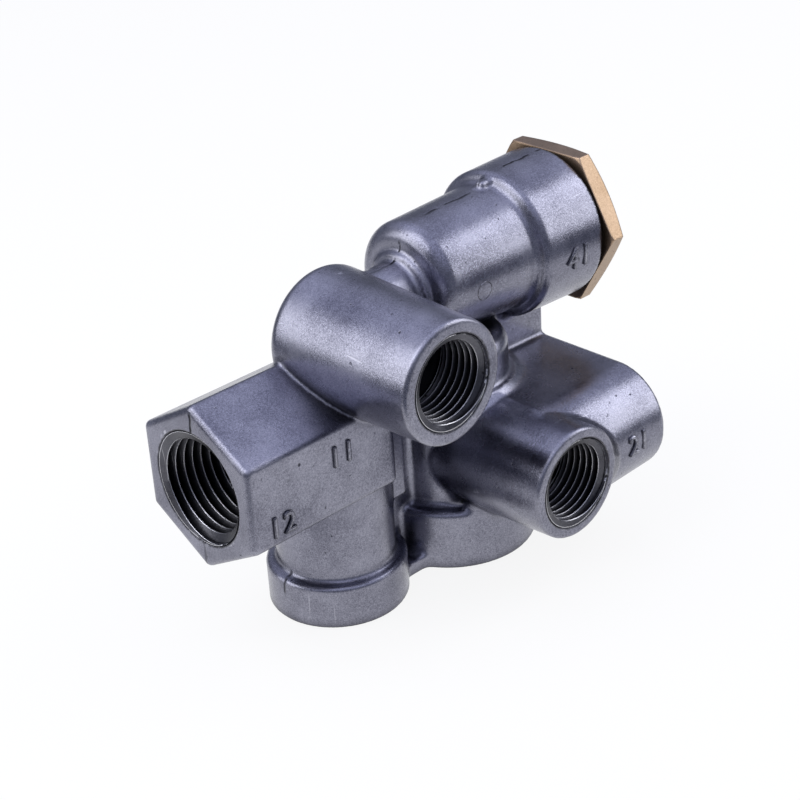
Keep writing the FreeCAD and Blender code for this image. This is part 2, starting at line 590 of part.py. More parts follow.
    return cut("valve_body", blank, tools)


def control_group():
    """The brass port fitting, its gasket, and the spring-loaded control piston."""
    hex_start = "control_end + fitting_gasket"
    hex_end = "control_end + fitting_gasket + fitting_hex_length"
    spigot_start = "control_spigot_start + fit_gap"
    gasket = turned("control_gasket", "X", [
        ("control_end", "control_spigot_radius"), ("control_end", "fitting_flats / 2 - fine_round"),
        (hex_start, "fitting_flats / 2 - fine_round"), (hex_start, "control_spigot_radius")], **CONTROL)
    nut = hexagon("fitting_hexagon", "fitting_flats", "fitting_hex_length", ROT_HEX_SIDE,
                  hex_start, "0", "control_z")
    corner = "fitting_flats / sqrt(3)"
    bevel = turned("fitting_bevel", "X", [
        (hex_start, "0"), (hex_start, f"{corner} - fine_round"), (f"{hex_start} + fine_round", f"{corner} + fine_round"),
        (f"{hex_end} - fine_round * 2", f"{corner} + fine_round"), (hex_end, "fitting_flats / 2 - fine_round / 2"),
        (hex_end, "0")], **CONTROL)
    head = doc.addObject("Part::MultiCommon", "fitting_head")
    head.Shapes = [nut, bevel]
    spigot = cylinder("fitting_spigot", "control_spigot_radius - fit_gap", f"{hex_start} - ({spigot_start})",
                      ROT_TO_X, spigot_start, "0", "control_z")
    tools = mouth("control_port", "+X", "fitting_port_radius", "fitting_port_depth", "fitting_way_radius",
                  f"{hex_end} - control_spigot_start", hex_end, "0", "control_z")
    tools.append(cylinder("fitting_recess", "control_bore_radius", "fine_round * 2", ROT_TO_X,
                          spigot_start, "0", "control_z"))
    fitting = cut("control_port_fitting", fuse("fitting_blank", [head, spigot]), tools)

    head_end = "control_spigot_start - fit_gap"
    head_start = f"{head_end} - control_head_length"
    stem_start = f"{head_start} - control_stem_length"
    head_seal = f"{head_end} - control_head_length / 2"
    stem_seal = f"{head_start} - control_head_length"
    stem_radius = "control_bore_radius - run_gap"
    head_radius = "control_head_radius - run_gap"
    pocket_end = f"{stem_start} + control_pocket_depth"
    piston = turned("control_piston", "X", [
        (stem_start, "control_pocket_radius"), (stem_start, stem_radius),
        *groove(stem_radius, "control_bore_radius", "run_gap", stem_seal),
        (head_start, stem_radius), (head_start, head_radius),
        *groove(head_radius, "control_head_radius", "run_gap", head_seal),
        (head_end, head_radius), (head_end, "0"), (pocket_end, "0"), (pocket_end, "control_pocket_radius")],
        **CONTROL)
    seals = [
        seal_ring("control_head_seal", "control_head_radius", "run_gap", "X", head_seal, **CONTROL),
        seal_ring("control_stem_seal", "control_bore_radius", "run_gap", "X", stem_seal, **CONTROL),
    ]
    spring_end = (size("control_spigot_start") - size("fit_gap") - size("control_head_length")
                  - size("control_stem_length") + size("control_pocket_depth"))
    spring = coil_spring("control_spring", size("control_left") + size("control_wall"), spring_end,
                         size("control_coil_radius"), size("control_wire"), size("control_turns"), ROT_TO_X,
                         0, 0, size("control_z"))
    return [fitting, gasket, piston, *seals, spring]


def retaining_ring(label, bore, width, lug_radius, x):
    """An internal retaining ring: open towards -Y, with a lug and its hole at each end."""
    outer = f"{bore} + ring_bite - fit_gap"
    inner = f"{bore} + ring_bite - {width}"
    level = "-axis_height + ring_level"
    tall = "ring_thickness"
    disc = cylinder(label + "_disc", outer, tall, NO_TURN, x, "0", level)
    inside = cylinder(label + "_inside", inner, tall, NO_TURN, x, "0", level)
    opening = block(label + "_opening", f"{lug_radius} * 4", outer, tall, f"{x} - {lug_radius} * 2",
                    f"-({outer})", level)
    lugs, holes = [], []
    for side, sign in (("left", "-"), ("right", "")):
        lug_x = f"{x} + {sign}{lug_radius} * 2"
        lug_y = f"-({inner})"
        lugs.append(cylinder(f"{label}_{side}_lug", lug_radius, tall, NO_TURN, lug_x, lug_y, level))
        holes.append(cylinder(f"{label}_{side}_hole", f"{lug_radius} * 0.5", tall, NO_TURN, lug_x, lug_y, level))
    arc = cut(label + "_arc", disc, [inside, opening])
    return cut(label, fuse(label + "_blank", [arc, *lugs]), holes)


def relay_group():
    """The relay piston, the inlet and exhaust valve below it, and the exhaust cover."""
    head_end = "relay_bore_top - fit_gap"
    head_start = f"{head_end} - relay_head_length"
    seal_level = f"{head_end} - relay_head_length / 2"
    lip_level = "seat_bore_level + fit_gap * 2 - seat_lip"
    face_level = f"{lip_level} - fit_gap"
    disc_top = f"{face_level} - face_thickness"
    disc_level = f"{disc_top} - inlet_disc_thickness"
    head_radius = "relay_bore_radius - run_gap"
    hollow_level = f"{head_start} + relay_hollow_depth"
    stem_level = f"{face_level} + relay_travel + run_gap"
    piston = turned("relay_piston", "Z", [
        (stem_level, "0"), (stem_level, "relay_stem_radius"), (hollow_level, "relay_stem_radius"),
        (hollow_level, "relay_hollow_radius"), (head_start, "relay_hollow_radius"), (head_start, head_radius),
        *groove(head_radius, "relay_bore_radius", "run_gap", seal_level),
        (head_end, head_radius), (head_end, "0")], **RELAY)
    piston_seal = seal_ring("relay_piston_seal", "relay_bore_radius", "run_gap", "Z", seal_level, **RELAY)

    seat_low = "seat_bore_level + fit_gap * 2"
    seat_top = "relay_bore_level - fit_gap"
    seat_radius = "seat_bore_radius - fit_gap"
    seat_seal_level = f"({seat_low} + {seat_top}) / 2"
    seat = turned("inlet_seat", "Z", [
        (lip_level, "seat_hole_radius"), (lip_level, "seat_hole_radius + seat_lip * 2"),
        (seat_low, "seat_hole_radius + seat_lip * 2"), (seat_low, seat_radius),
        *groove(seat_radius, "seat_bore_radius", "fit_gap", seat_seal_level),
        (seat_top, seat_radius), (seat_top, "seat_hole_radius")], **RELAY)
    seat_seal = seal_ring("inlet_seat_seal", "seat_bore_radius", "fit_gap", "Z", seat_seal_level, **RELAY)
    inlet = turned("inlet_exhaust_valve", "Z", [
        (f"{disc_level} - inlet_tube_length", "inlet_hole_radius"),
        (f"{disc_level} - inlet_tube_length", "inlet_tube_radius"), (disc_level, "inlet_tube_radius"),
        (disc_level, "inlet_disc_radius"), (disc_top, "inlet_disc_radius"), (disc_top, "inlet_hole_radius")],
        **RELAY)
    face = turned("inlet_valve_face", "Z", [
        (disc_top, "inlet_hole_radius"), (disc_top, "inlet_disc_radius - inlet_disc_thickness / 4"),
        (face_level, "inlet_disc_radius - inlet_disc_thickness / 4"), (face_level, "inlet_hole_radius")], **RELAY)

    skirt_low = "ring_level + ring_thickness + fit_gap"
    plate_top = "chamber_level - fit_gap"
    plate_low = f"{plate_top} - cover_plate"
    cover_radius = "cover_bore_radius - fit_gap"
    skirt_inner = f"{cover_radius} - cover_skirt"
    guide_inner = "inlet_tube_radius + run_gap"
    guide_outer = f"{guide_inner} + cover_guide_wall"
    guide_top = f"{disc_level} - inlet_travel - travel_spare"
    cover_seal_level = f"({skirt_low} + {plate_top}) / 2"
    cover = turned("exhaust_cover", "Z", [
        (skirt_low, skirt_inner), (skirt_low, cover_radius),
        *groove(cover_radius, "cover_bore_radius", "fit_gap", cover_seal_level),
        (plate_top, cover_radius), (plate_top, guide_outer), (guide_top, guide_outer),
        (guide_top, guide_inner), (plate_low, guide_inner), (plate_low, skirt_inner)],
        **RELAY)
    cover_seal = seal_ring("exhaust_cover_seal", "cover_bore_radius", "fit_gap", "Z", cover_seal_level, **RELAY)
    grille_z = f"-axis_height + {skirt_low}"
    plate = cylinder("grille_plate", f"{skirt_inner} - fit_gap", "grille_thickness", NO_TURN, "relay_x", "0", grille_z)
    holes = [cylinder("grille_middle", "flap_stem_radius + fit_gap", "grille_thickness", NO_TURN,
                      "relay_x", "0", grille_z)]
    for k in range(int(size("grille_holes"))):
        turned_by = f"({k} * 360 deg / grille_holes)"
        holes.append(cylinder(f"grille_hole_{k}", "grille_hole_radius", "grille_thickness", NO_TURN,
                              f"relay_x + grille_pitch_radius * cos({turned_by})",
                              f"grille_pitch_radius * sin({turned_by})", grille_z))
    grille = cut("exhaust_grille", plate, holes)
    flap_top = f"{skirt_low} - fit_gap"
    bulb_low = f"{skirt_low} + grille_thickness + fit_gap"
    flap = turned("exhaust_flap", "Z", [
        (f"{flap_top} - flap_thickness", "0"), (f"{flap_top} - flap_thickness", "flap_radius"),
        (flap_top, "flap_radius"), (flap_top, "flap_stem_radius"), (bulb_low, "flap_stem_radius"),
        (bulb_low, "flap_stem_radius * 1.5"), (f"{bulb_low} + grille_thickness / 2", "flap_stem_radius"),
        (f"{bulb_low} + grille_thickness / 2", "0")], **RELAY)
    ring = retaining_ring("relay_retaining_ring", "cover_bore_radius", "relay_ring_width", "relay_lug_radius",
                          "relay_x")
    face_top = size("seat_bore_level") + size("fit_gap") - size("seat_lip")
    spring_top = face_top - size("face_thickness") - size("inlet_disc_thickness")
    spring = coil_spring("inlet_spring", size("chamber_level") - size("fit_gap"), spring_top,
                         size("inlet_coil_radius"), size("inlet_wire"), size("inlet_turns"), NO_TURN,
                         size("relay_x"), 0, -size("axis_height"))
    return [piston, piston_seal, seat, seat_seal, inlet, face, spring, cover, cover_seal, grille, flap, ring]


def leg_group():
    """The pressure protection valve in the leg, its spring and the end cap."""
    face_top = "leg_bore_level - fit_gap"
    head_top = f"{face_top} - face_thickness"
    skirt_top = f"{head_top} - leg_head_length"
    skirt_low = f"{skirt_top} - leg_skirt_length"
    seal_level = f"{skirt_low} + leg_skirt_length / 2"
    skirt_radius = "leg_bore_radius - run_gap"
    pocket_top = f"{skirt_low} + leg_pocket_depth"
    poppet = turned("protection_valve", "Z", [
        (skirt_low, "leg_pocket_radius"), (skirt_low, skirt_radius),
        *groove(skirt_radius, "leg_bore_radius", "run_gap", seal_level),
        (skirt_top, skirt_radius), (skirt_top, "leg_head_radius"), (head_top, "leg_head_radius"), (head_top, "0"),
        (pocket_top, "0"), (pocket_top, "leg_pocket_radius")], **LEG)
    poppet_seal = seal_ring("protection_valve_seal", "leg_bore_radius", "run_gap", "Z", seal_level, **LEG)
    face = turned("protection_valve_face", "Z", [
        (head_top, "0"), (head_top, "leg_head_radius - leg_head_length / 4"),
        (face_top, "leg_head_radius - leg_head_length / 4"), (face_top, "0")], **LEG)
    cap_low = "ring_level + ring_thickness + fit_gap"
    cap_top = f"{cap_low} + leg_cap_length"
    cap_radius = "leg_bore_radius - fit_gap"
    cap_seal_level = f"{cap_low} + leg_cap_length / 2"
    dish = f"{cap_low} + leg_cap_length / 4"
    boss_top = f"{pocket_top} - leg_travel - travel_spare"
    cap = turned("leg_end_cap", "Z", [
        (dish, "0"), (dish, "leg_dish_radius"), (cap_low, "leg_dish_radius"), (cap_low, cap_radius),
        *groove(cap_radius, "leg_bore_radius", "fit_gap", cap_seal_level),
        (cap_top, cap_radius), (cap_top, "leg_cap_boss_radius"), (boss_top, "leg_cap_boss_radius"),
        (boss_top, "0")], **LEG)
    cap_seal = seal_ring("leg_cap_seal", "leg_bore_radius", "fit_gap", "Z", cap_seal_level, **LEG)
    ring = retaining_ring("leg_retaining_ring", "leg_bore_radius", "leg_ring_width", "leg_lug_radius", "leg_x")
    spring_low = size("ring_level") + size("ring_thickness") + size("fit_gap") + size("leg_cap_length")
    spring_top = (size("leg_bore_level") - size("fit_gap") - size("face_thickness") - size("leg_head_length")
                  - size("leg_skirt_length") + size("leg_pocket_depth"))
    spring = coil_spring("protection_spring", spring_low, spring_top, size("leg_coil_radius"), size("leg_wire"),
                         size("leg_turns"), NO_TURN, size("leg_x"), 0, -size("axis_height"))
    return [poppet, poppet_seal, face, spring, cap, cap_seal, ring]


nodes = [valve_body(), *control_group(), *relay_group(), *leg_group()]
doc.recompute()

for thing in doc.Objects:
    if {"Invalid", "Error"} & set(thing.State):
        raise RuntimeError(f"{thing.Label} failed: {thing.State}")
os.makedirs("parts", exist_ok=True)
for node in nodes:
    shape = node.Shape
    if shape.isNull() or not shape.isValid() or not shape.Solids:
        raise RuntimeError(f"{node.Label} has no valid solid")
    print(f"{node.Label}: {len(shape.Solids)} solid, {shape.Volume:.1f} mm3, {len(shape.Faces)} faces")
    shape.exportStep(f"parts/{node.Label}.step")
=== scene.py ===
# %% [markdown]
# # A parking brake control valve, dressed for its portrait
#
# The CAD part gives every size. This lesson gives it the looks of the real thing: a die
# casting with soft fillets and a parting line, cut pipe threads in its ports, a brass port
# fitting, and raised port numbers.

# %% Load the frame
import json
import math

import bmesh
import bpy
import numpy as np
import openvdb
from mathutils import Matrix, Vector

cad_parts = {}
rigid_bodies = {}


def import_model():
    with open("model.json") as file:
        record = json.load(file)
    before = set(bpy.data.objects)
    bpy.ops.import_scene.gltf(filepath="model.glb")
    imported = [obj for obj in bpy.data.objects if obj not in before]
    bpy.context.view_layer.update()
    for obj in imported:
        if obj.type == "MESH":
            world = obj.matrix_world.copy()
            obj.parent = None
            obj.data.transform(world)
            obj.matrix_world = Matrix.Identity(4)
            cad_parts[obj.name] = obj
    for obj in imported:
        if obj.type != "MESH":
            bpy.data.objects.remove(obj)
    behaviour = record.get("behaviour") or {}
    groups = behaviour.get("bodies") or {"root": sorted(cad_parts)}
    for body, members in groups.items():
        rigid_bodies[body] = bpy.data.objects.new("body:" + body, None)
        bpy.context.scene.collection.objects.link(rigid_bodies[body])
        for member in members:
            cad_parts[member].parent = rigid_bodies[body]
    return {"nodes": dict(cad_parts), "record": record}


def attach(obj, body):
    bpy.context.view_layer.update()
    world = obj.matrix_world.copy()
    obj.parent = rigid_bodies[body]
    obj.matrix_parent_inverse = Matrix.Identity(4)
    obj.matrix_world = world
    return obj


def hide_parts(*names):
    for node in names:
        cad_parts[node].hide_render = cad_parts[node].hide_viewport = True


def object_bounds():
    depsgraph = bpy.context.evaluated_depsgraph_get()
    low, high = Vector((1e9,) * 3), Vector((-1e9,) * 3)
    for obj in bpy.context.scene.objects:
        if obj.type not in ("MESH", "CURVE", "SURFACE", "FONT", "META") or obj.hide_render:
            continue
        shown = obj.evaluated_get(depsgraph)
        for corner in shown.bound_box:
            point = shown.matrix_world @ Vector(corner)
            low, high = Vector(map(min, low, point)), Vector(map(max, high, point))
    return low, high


for leftover in list(bpy.data.objects):
    bpy.data.objects.remove(leftover)
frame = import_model()
nodes = frame["nodes"]
cad_box = [list(corner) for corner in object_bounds()]
MM = 0.001
print("CAD box in mm:", [[round(c / MM, 1) for c in corner] for corner in cad_box])

# %% [markdown]
# ## The camera
#
# A camera can be worked out from a picture: guess its direction, distance and lens, see
# where known corners land, and correct. The six values below are the result. The first
# three turn the camera, the next two slide it sideways, and the last one is how far it is
# from the middle of the reservoir port, all in degrees and millimetres. The lens is given
# in pixels of a square picture.

# %% Place the camera
CAMERA_TURN, CAMERA_TILT, CAMERA_ROLL = 42.730, 27.932, -3.579
CAMERA_SLIDE = (-34.134, -15.051)
CAMERA_DISTANCE = 308.173
FOCAL_PIXELS = 1826.738
IMAGE_PIXELS = 800
SENSOR_MM = 36.0
CLIPPING_M = (0.01, 20)


def linked(name, data):
    """A new object in the scene, at the origin."""
    thing = bpy.data.objects.new(name, data)
    bpy.context.scene.collection.objects.link(thing)
    return thing


def camera_axes():
    """The camera's right, up and forward directions in the row frame."""
    turn, tilt, roll = (math.radians(a) for a in (CAMERA_TURN, CAMERA_TILT, CAMERA_ROLL))
    forward = Vector((math.sin(turn) * math.cos(tilt), math.cos(turn) * math.cos(tilt), -math.sin(tilt)))
    level = Vector((math.cos(turn), -math.sin(turn), 0))
    upright = level.cross(forward)
    right = math.cos(roll) * level + math.sin(roll) * upright
    up = math.cos(roll) * upright - math.sin(roll) * level
    return right, up, forward


right, up, forward = camera_axes()
camera_data = bpy.data.cameras.new("camera")
camera_data.sensor_width = SENSOR_MM
camera_data.lens = FOCAL_PIXELS / IMAGE_PIXELS * SENSOR_MM
camera_data.clip_start, camera_data.clip_end = CLIPPING_M
camera = linked("camera", camera_data)
place = -(CAMERA_SLIDE[0] * right + CAMERA_SLIDE[1] * up + CAMERA_DISTANCE * forward) * MM
camera.matrix_world = Matrix.Translation(place) @ Matrix((right, up, -forward)).transposed().to_4x4()
bpy.context.scene.camera = camera
print("camera", [round(c, 4) for c in place], "lens", round(camera_data.lens, 1))

# %% [markdown]
# ## Helpers for meshes
#
# Every finished piece is a plain mesh in the row frame, so its object stays at the origin.
# Turned pieces and bores come from one function that spins a profile round an axis.

# %% Mesh helpers
TURN_STEPS = 128


def make_object(name, vertices, faces, unit=MM):
    """A mesh object at the origin, from points in millimetres unless the unit says otherwise."""
    mesh = bpy.data.meshes.new(name)
    mesh.from_pydata([tuple(float(c) * unit for c in v) for v in vertices], [], faces)
    mesh.validate()
    return linked(name, mesh)


def shown_mesh(thing):
    """The mesh that an object shows with its modifiers."""
    bpy.context.view_layer.update()
    graph = bpy.context.evaluated_depsgraph_get()
    return bpy.data.meshes.new_from_object(thing.evaluated_get(graph), depsgraph=graph)


def read_vectors(items, attribute):
    """One vector of each vertex, corner or face, as rows of an array."""
    values = np.empty(len(items) * 3)
    items.foreach_get(attribute, values)
    return values.reshape(-1, 3)


def read_numbers(items, attribute):
    """One whole number of each corner or face, as an array."""
    values = np.empty(len(items), int)
    items.foreach_get(attribute, values)
    return values


def axis_frame(axis):
    """Two directions across an axis that make a right-handed set with it."""
    along = np.array(axis, float)
    across = np.array((0, 0, 1.0) if abs(along[2]) < 0.5 else (1.0, 0, 0))
    first = np.cross(across, along)
    first /= np.linalg.norm(first)
    return first, np.cross(along, first), along


def turned_mesh(name, profile, origin, axis):
    """Spin a profile of (along, radius) points round an axis; both its ends lie on the axis.

    A point on the axis is a ring of one vertex, so the faces beside it lose a doubled corner.
    """
    first, second, along = axis_frame(axis)
    origin = np.array(origin, float)
    vertices, rings = [], []
    for reach, radius in profile:
        if radius == 0:
            rings.append([len(vertices)])
            vertices.append(origin + along * reach)
            continue
        rings.append(list(range(len(vertices), len(vertices) + TURN_STEPS)))
        for k in range(TURN_STEPS):
            angle = 2 * math.pi * k / TURN_STEPS
            outward = math.cos(angle) * first + math.sin(angle) * second
            vertices.append(origin + along * reach + radius * outward)
    faces = []
    for low, high in zip(rings, rings[1:]):
        for k in range(TURN_STEPS):
            n = (k + 1) % TURN_STEPS
            corners = (low[k % len(low)], low[n % len(low)], high[n % len(high)], high[k % len(high)])
            faces.append(tuple(dict.fromkeys(corners)))
    thing = make_object(name, vertices, faces)
    face_outwards(thing)
    return thing


def face_outwards(thing):
    """Turn every face of a closed mesh outwards."""
    work = bmesh.new()
    work.from_mesh(thing.data)
    bmesh.ops.recalc_face_normals(work, faces=work.faces)
    work.to_mesh(thing.data)
    work.free()


def combine(target, tools, operation):
    """Cut the tools out of the target, or keep what they share, and remove the tools."""
    for tool in tools:
        step = target.modifiers.new("step", "BOOLEAN")
        step.operation = operation
        step.solver = "MANIFOLD"
        step.object = tool
    settle(target)
    for tool in tools:
        bpy.data.objects.remove(tool)


def settle(thing):
    """Make what the modifiers show the object's own mesh, and remove them."""
    mesh = shown_mesh(thing)
    thing.modifiers.clear()
    thing.data = mesh


def soften(thing, angle):
    """Shade a mesh smooth, and keep the edges that turn by more than the angle crisp."""
    thing.data.shade_smooth()
    thing.data.set_sharp_from_angle(angle=math.radians(angle))


def wear(thing, node_name, material_slot, *materials):
    """Give a finished piece its materials and its body, and let it stand for a CAD node."""
    thing.data.materials.clear()
    for material in materials:
        thing.data.materials.append(material)
    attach(thing, "casing")
    if node_name:
        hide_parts(node_name)

# %% [markdown]
# ## The casting as a blend of simple forms
#
# Molten metal leaves no sharp inner corner: wherever two forms of a die casting meet, the
# mould has a small fillet. A mesh of cylinders joined by booleans lacks them. A distance
# field has them almost for free: each simple form gives, for any point of space, how far
# away its surface is, and two such numbers can be joined with a rounded corner between
# them. The sizes are those of the CAD part, in millimetres.

# %% Sizes of the casting
BASE_Z = -35.0
HEX_FLATS, HEX_LENGTH = 27.5, 33.5
SUPPLY_X, SUPPLY_Z, SUPPLY_REACH, SUPPLY_BACK = 32.3, 17.0, 29.7, 3.4
LEG_X, LEG_RADIUS, FLANGE_RADIUS, FLANGE_TOP = 29.35, 11.1, 13.1, BASE_Z + 8.6
RELAY_X, DELIVERY_Z, DELIVERY_REACH = 59.6, -13.3, 32.8
END_X, END_Y, END_RADIUS, END_DRAFT = 85.5, 21.2, 10.9, math.radians(1.2)
CONTROL_Z, CONTROL_LEFT, CONTROL_STEP, CONTROL_END = 19.8, 49.8, 72.9, 88.2
CONTROL_SMALL = (CONTROL_LEFT, CONTROL_STEP + 3, 11.5, 12.5)
CONTROL_LARGE = (CONTROL_STEP, CONTROL_END, 14.4, 14.85)
NECK_Z, NECK_RADIUS = 18.6, 6.3
CAST_ROUND, FINE_ROUND = 1.2, 0.6

# %% [markdown]
# ## The simple forms
#
# Each form takes the points as rows of an array, then its sizes. Turned forms need two
# stations of their axis, the radius at each, and how far each rim is rounded. A negative
# distance means that the point lies inside.

# %% Distance helpers


def corner_distance(u, v):
    """Distance to the corner that two faces make, from the distance to each face."""
    return np.minimum(np.maximum(u, v), 0) + np.hypot(np.maximum(u, 0), np.maximum(v, 0))


def rounded_corner(side, cap, rounding):
    """Distance to a form bounded by a side and a cap, whose shared edge is rounded."""
    return corner_distance(side + rounding, cap + rounding) - rounding


def cone_radius(along, start, end, radius_start, radius_end):
    """The radius of a cone at a station between its two ends."""
    return radius_start + (radius_end - radius_start) * (along - start) / (end - start)


def turned_form(along, radial, start, end, radius_start, radius_end, round_start=0.0, round_end=0.0):
    """A cylinder or cone between two stations of its axis, with rounded rims."""
    slope = (radius_end - radius_start) / (end - start)
    side = (radial - radius_start - slope * (along - start)) / math.hypot(1, slope)
    near_start = along < (start + end) / 2
    cap = np.where(near_start, start - along, along - end)
    return rounded_corner(side, cap, np.where(near_start, round_start, round_end))


def upright(p, x, *sizes):
    """A turned form on a vertical axis through y = 0."""
    return turned_form(p[:, 2], np.hypot(p[:, 0] - x, p[:, 1]), *sizes)


def crosswise(p, x, z, *sizes):
    """A turned form on an axis along Y."""
    return turned_form(p[:, 1], np.hypot(p[:, 0] - x, p[:, 2] - z), *sizes)


def lengthwise(p, z, *sizes):
    """A turned form on an axis along X, over y = 0."""
    return turned_form(p[:, 0], np.hypot(p[:, 1], p[:, 2] - z), *sizes)


def hexagon_form(p, flats, end, rounding):
    """A hexagonal prism along X from 0, with two flats upright and every edge rounded."""
    high, wide = np.abs(p[:, 2]), np.abs(p[:, 1])
    fold = 2 * np.minimum(0.5 * wide - math.sqrt(3) / 2 * high, 0)
    high, wide = high + fold * math.sqrt(3) / 2, wide - fold * 0.5
    apothem = flats / 2 - rounding
    high = high - np.clip(high, -apothem / math.sqrt(3), apothem / math.sqrt(3))
    wide = wide - apothem
    outline = np.hypot(high, wide) * np.sign(wide)
    cap = np.maximum(-p[:, 0], p[:, 0] - end) + rounding
    return corner_distance(outline, cap) - rounding


def block_form(p, low, high, rounding):
    """A block with rounded edges, from its lowest to its highest corner."""
    low, high = np.array(low, float), np.array(high, float)
    q = np.abs(p - (low + high) / 2) - ((high - low) / 2 - rounding)
    return np.linalg.norm(np.maximum(q, 0), axis=1) + np.minimum(q.max(axis=1), 0) - rounding


def boss_radius(x):
    """Radius of the end delivery bosses at a station."""
    return END_RADIUS + (END_X - x) * math.tan(END_DRAFT)


def manifold_form(p):
    """The bar with the two end delivery bosses: a slot outline that narrows towards its end."""
    side = np.hypot(np.maximum(np.abs(p[:, 1]) - END_Y, 0), p[:, 2] - DELIVERY_Z) - boss_radius(p[:, 0])
    return rounded_corner(side, np.maximum(RELAY_X - p[:, 0], p[:, 0] - END_X), FINE_ROUND)


# Each row is a fillet, the form that it joins to what came before, and that form's sizes.
# The last row is a bead of flash on the parting line, at the step of the control cylinder.
FORMS = [
    (0.0, upright, RELAY_X, BASE_Z, -22.8, 16.4, 16.4, FINE_ROUND, 1.3),
    (1.3, upright, RELAY_X, BASE_Z + 2, -0.8, 13.6, 13.6, 0.0, 0.7),
    (0.8, upright, RELAY_X, -10.0, 7.6, 12.1, 12.1, 0.0, 3.0),
    (2.4, manifold_form),
    (2.6, crosswise, RELAY_X, DELIVERY_Z, -DELIVERY_REACH, 0, 10.7, 12.0, FINE_ROUND),
    (2.6, crosswise, RELAY_X, DELIVERY_Z, 0, DELIVERY_REACH, 12.0, 10.7, 0.0, FINE_ROUND),
    (1.0, block_form, (RELAY_X, -2, DELIVERY_Z), (85.3, 2, CONTROL_Z), 1.0),
    (0.9, lengthwise, CONTROL_Z, *CONTROL_SMALL, 3.0),
    (1.4, lengthwise, CONTROL_Z, *CONTROL_LARGE, 1.5, 0.5),
    (0.0, hexagon_form, HEX_FLATS, HEX_LENGTH, CAST_ROUND),
    (0.8, upright, LEG_X, BASE_Z, FLANGE_TOP, FLANGE_RADIUS, FLANGE_RADIUS, FINE_ROUND, 1.0),
    (1.0, upright, LEG_X, BASE_Z + 2, -4.0, LEG_RADIUS, LEG_RADIUS),
    (0.7, block_form, (LEG_X, -7.8, -16.5), (41.0, 7.8, 8.5), FINE_ROUND),
    (1.2, block_form, (LEG_X, -3.2, BASE_Z + 1.4), (RELAY_X, 3.2, 0), 0.4),
    (2.0, block_form, (LEG_X, -7.5, BASE_Z), (RELAY_X, 7.5, BASE_Z + 2.8), 0.5),
    (0.6, crosswise, SUPPLY_X, SUPPLY_Z, -SUPPLY_REACH, SUPPLY_BACK, 11.1, 12.3, FINE_ROUND, 2.6),
    (0.8, lengthwise, NECK_Z, SUPPLY_X - NECK_RADIUS, CONTROL_LEFT + 2, NECK_RADIUS, NECK_RADIUS, 5.6),
    (0.8, lengthwise, NECK_Z, CONTROL_LEFT - 1, CONTROL_LEFT + 1.3, 7.7, 7.9, 0.6, 1.0),
    (0.9, block_form, (70.4, -1.0, CONTROL_Z + 11), (73.4, 0.9, CONTROL_Z + 13.6), 0.6),
]

# %% [markdown]
# ## Joining the forms
#
# A form's slope tells which way its surface faces. It comes from the distance at the point
# and at three points a nudge away from it.

# %% The field of the whole casting
NUDGE = 0.02


def form_and_slope(p, form, *sizes):
    """A form's distance at each point, and the direction in which it grows."""
    here = form(p, *sizes)
    slope = np.stack([(form(p + NUDGE * step, *sizes) - here) / NUDGE for step in np.eye(3)], axis=1)
    return here, slope


def casting_field(p):
    """Distance to the casting's outside at each point, and its outward direction.

    Where two surfaces meet at a right angle the fillet has its full radius. It shrinks
    as they come into line, or it would raise a ridge where they are flush.
    """
    total, total_slope = form_and_slope(p, *FORMS[0][1:])
    for fillet, *form_and_sizes in FORMS[1:]:
        part, part_slope = form_and_slope(p, *form_and_sizes)
        turn = np.clip(1 - (total_slope * part_slope).sum(axis=1), 0, 1)
        radius = fillet * turn
        u, v = np.maximum(radius - total, 0), np.maximum(radius - part, 0)
        both = np.hypot(u, v)
        joined = np.maximum(radius, np.minimum(total, part)) - both
        blended = (u[:, None] * total_slope + v[:, None] * part_slope) / np.maximum(both, 1e-9)[:, None]
        nearest = np.where((total < part)[:, None], total_slope, part_slope)
        total_slope = np.where(((u > 0) & (v > 0))[:, None], blended, nearest)
        total = joined
    trimmed = BASE_Z - p[:, 2] > total
    total_slope[trimmed] = (0, 0, -1)
    return np.maximum(total, BASE_Z - p[:, 2]), total_slope

# %% [markdown]
# ## From the field to a mesh
#
# The field is sampled on a grid, only near the surface, and a level set tool draws quads
# where it is zero. Those quads are a little off, so each vertex then slides along the
# field's slope onto the true surface. That leaves curves as smooth as a turned model's.

# %% Sample the field and draw its surface
VOXEL = 0.55
BAND = 3 * VOXEL
GRID_MARGIN = 2.5
FILLET_ROOM = 1.5
SLIDES, LONGEST_SLIDE = 4, 0.3


def sampled_grid():
    """The casting's distance on a grid, exact near the surface, and the grid's corner."""
    low = np.array(cad_box[0]) / MM - GRID_MARGIN
    counts = np.ceil((np.array(cad_box[1]) / MM + GRID_MARGIN - low) / VOXEL).astype(int)
    axes = [low[k] + VOXEL * np.arange(counts[k]) for k in range(3)]
    grid = np.empty(counts, np.float32)
    for i, x in enumerate(axes[0]):
        y, z = np.meshgrid(axes[1], axes[2], indexing="ij")
        p = np.stack([np.full(y.size, x), y.ravel(), z.ravel()], axis=1)
        rough = np.min([form(p, *sizes) for _, form, *sizes in FORMS], axis=0)
        near = np.abs(rough) < BAND + FILLET_ROOM
        if near.any():
            rough[near] = casting_field(p[near])[0]
        grid[i] = np.clip(rough, -BAND, BAND).reshape(y.shape)
    return grid, low


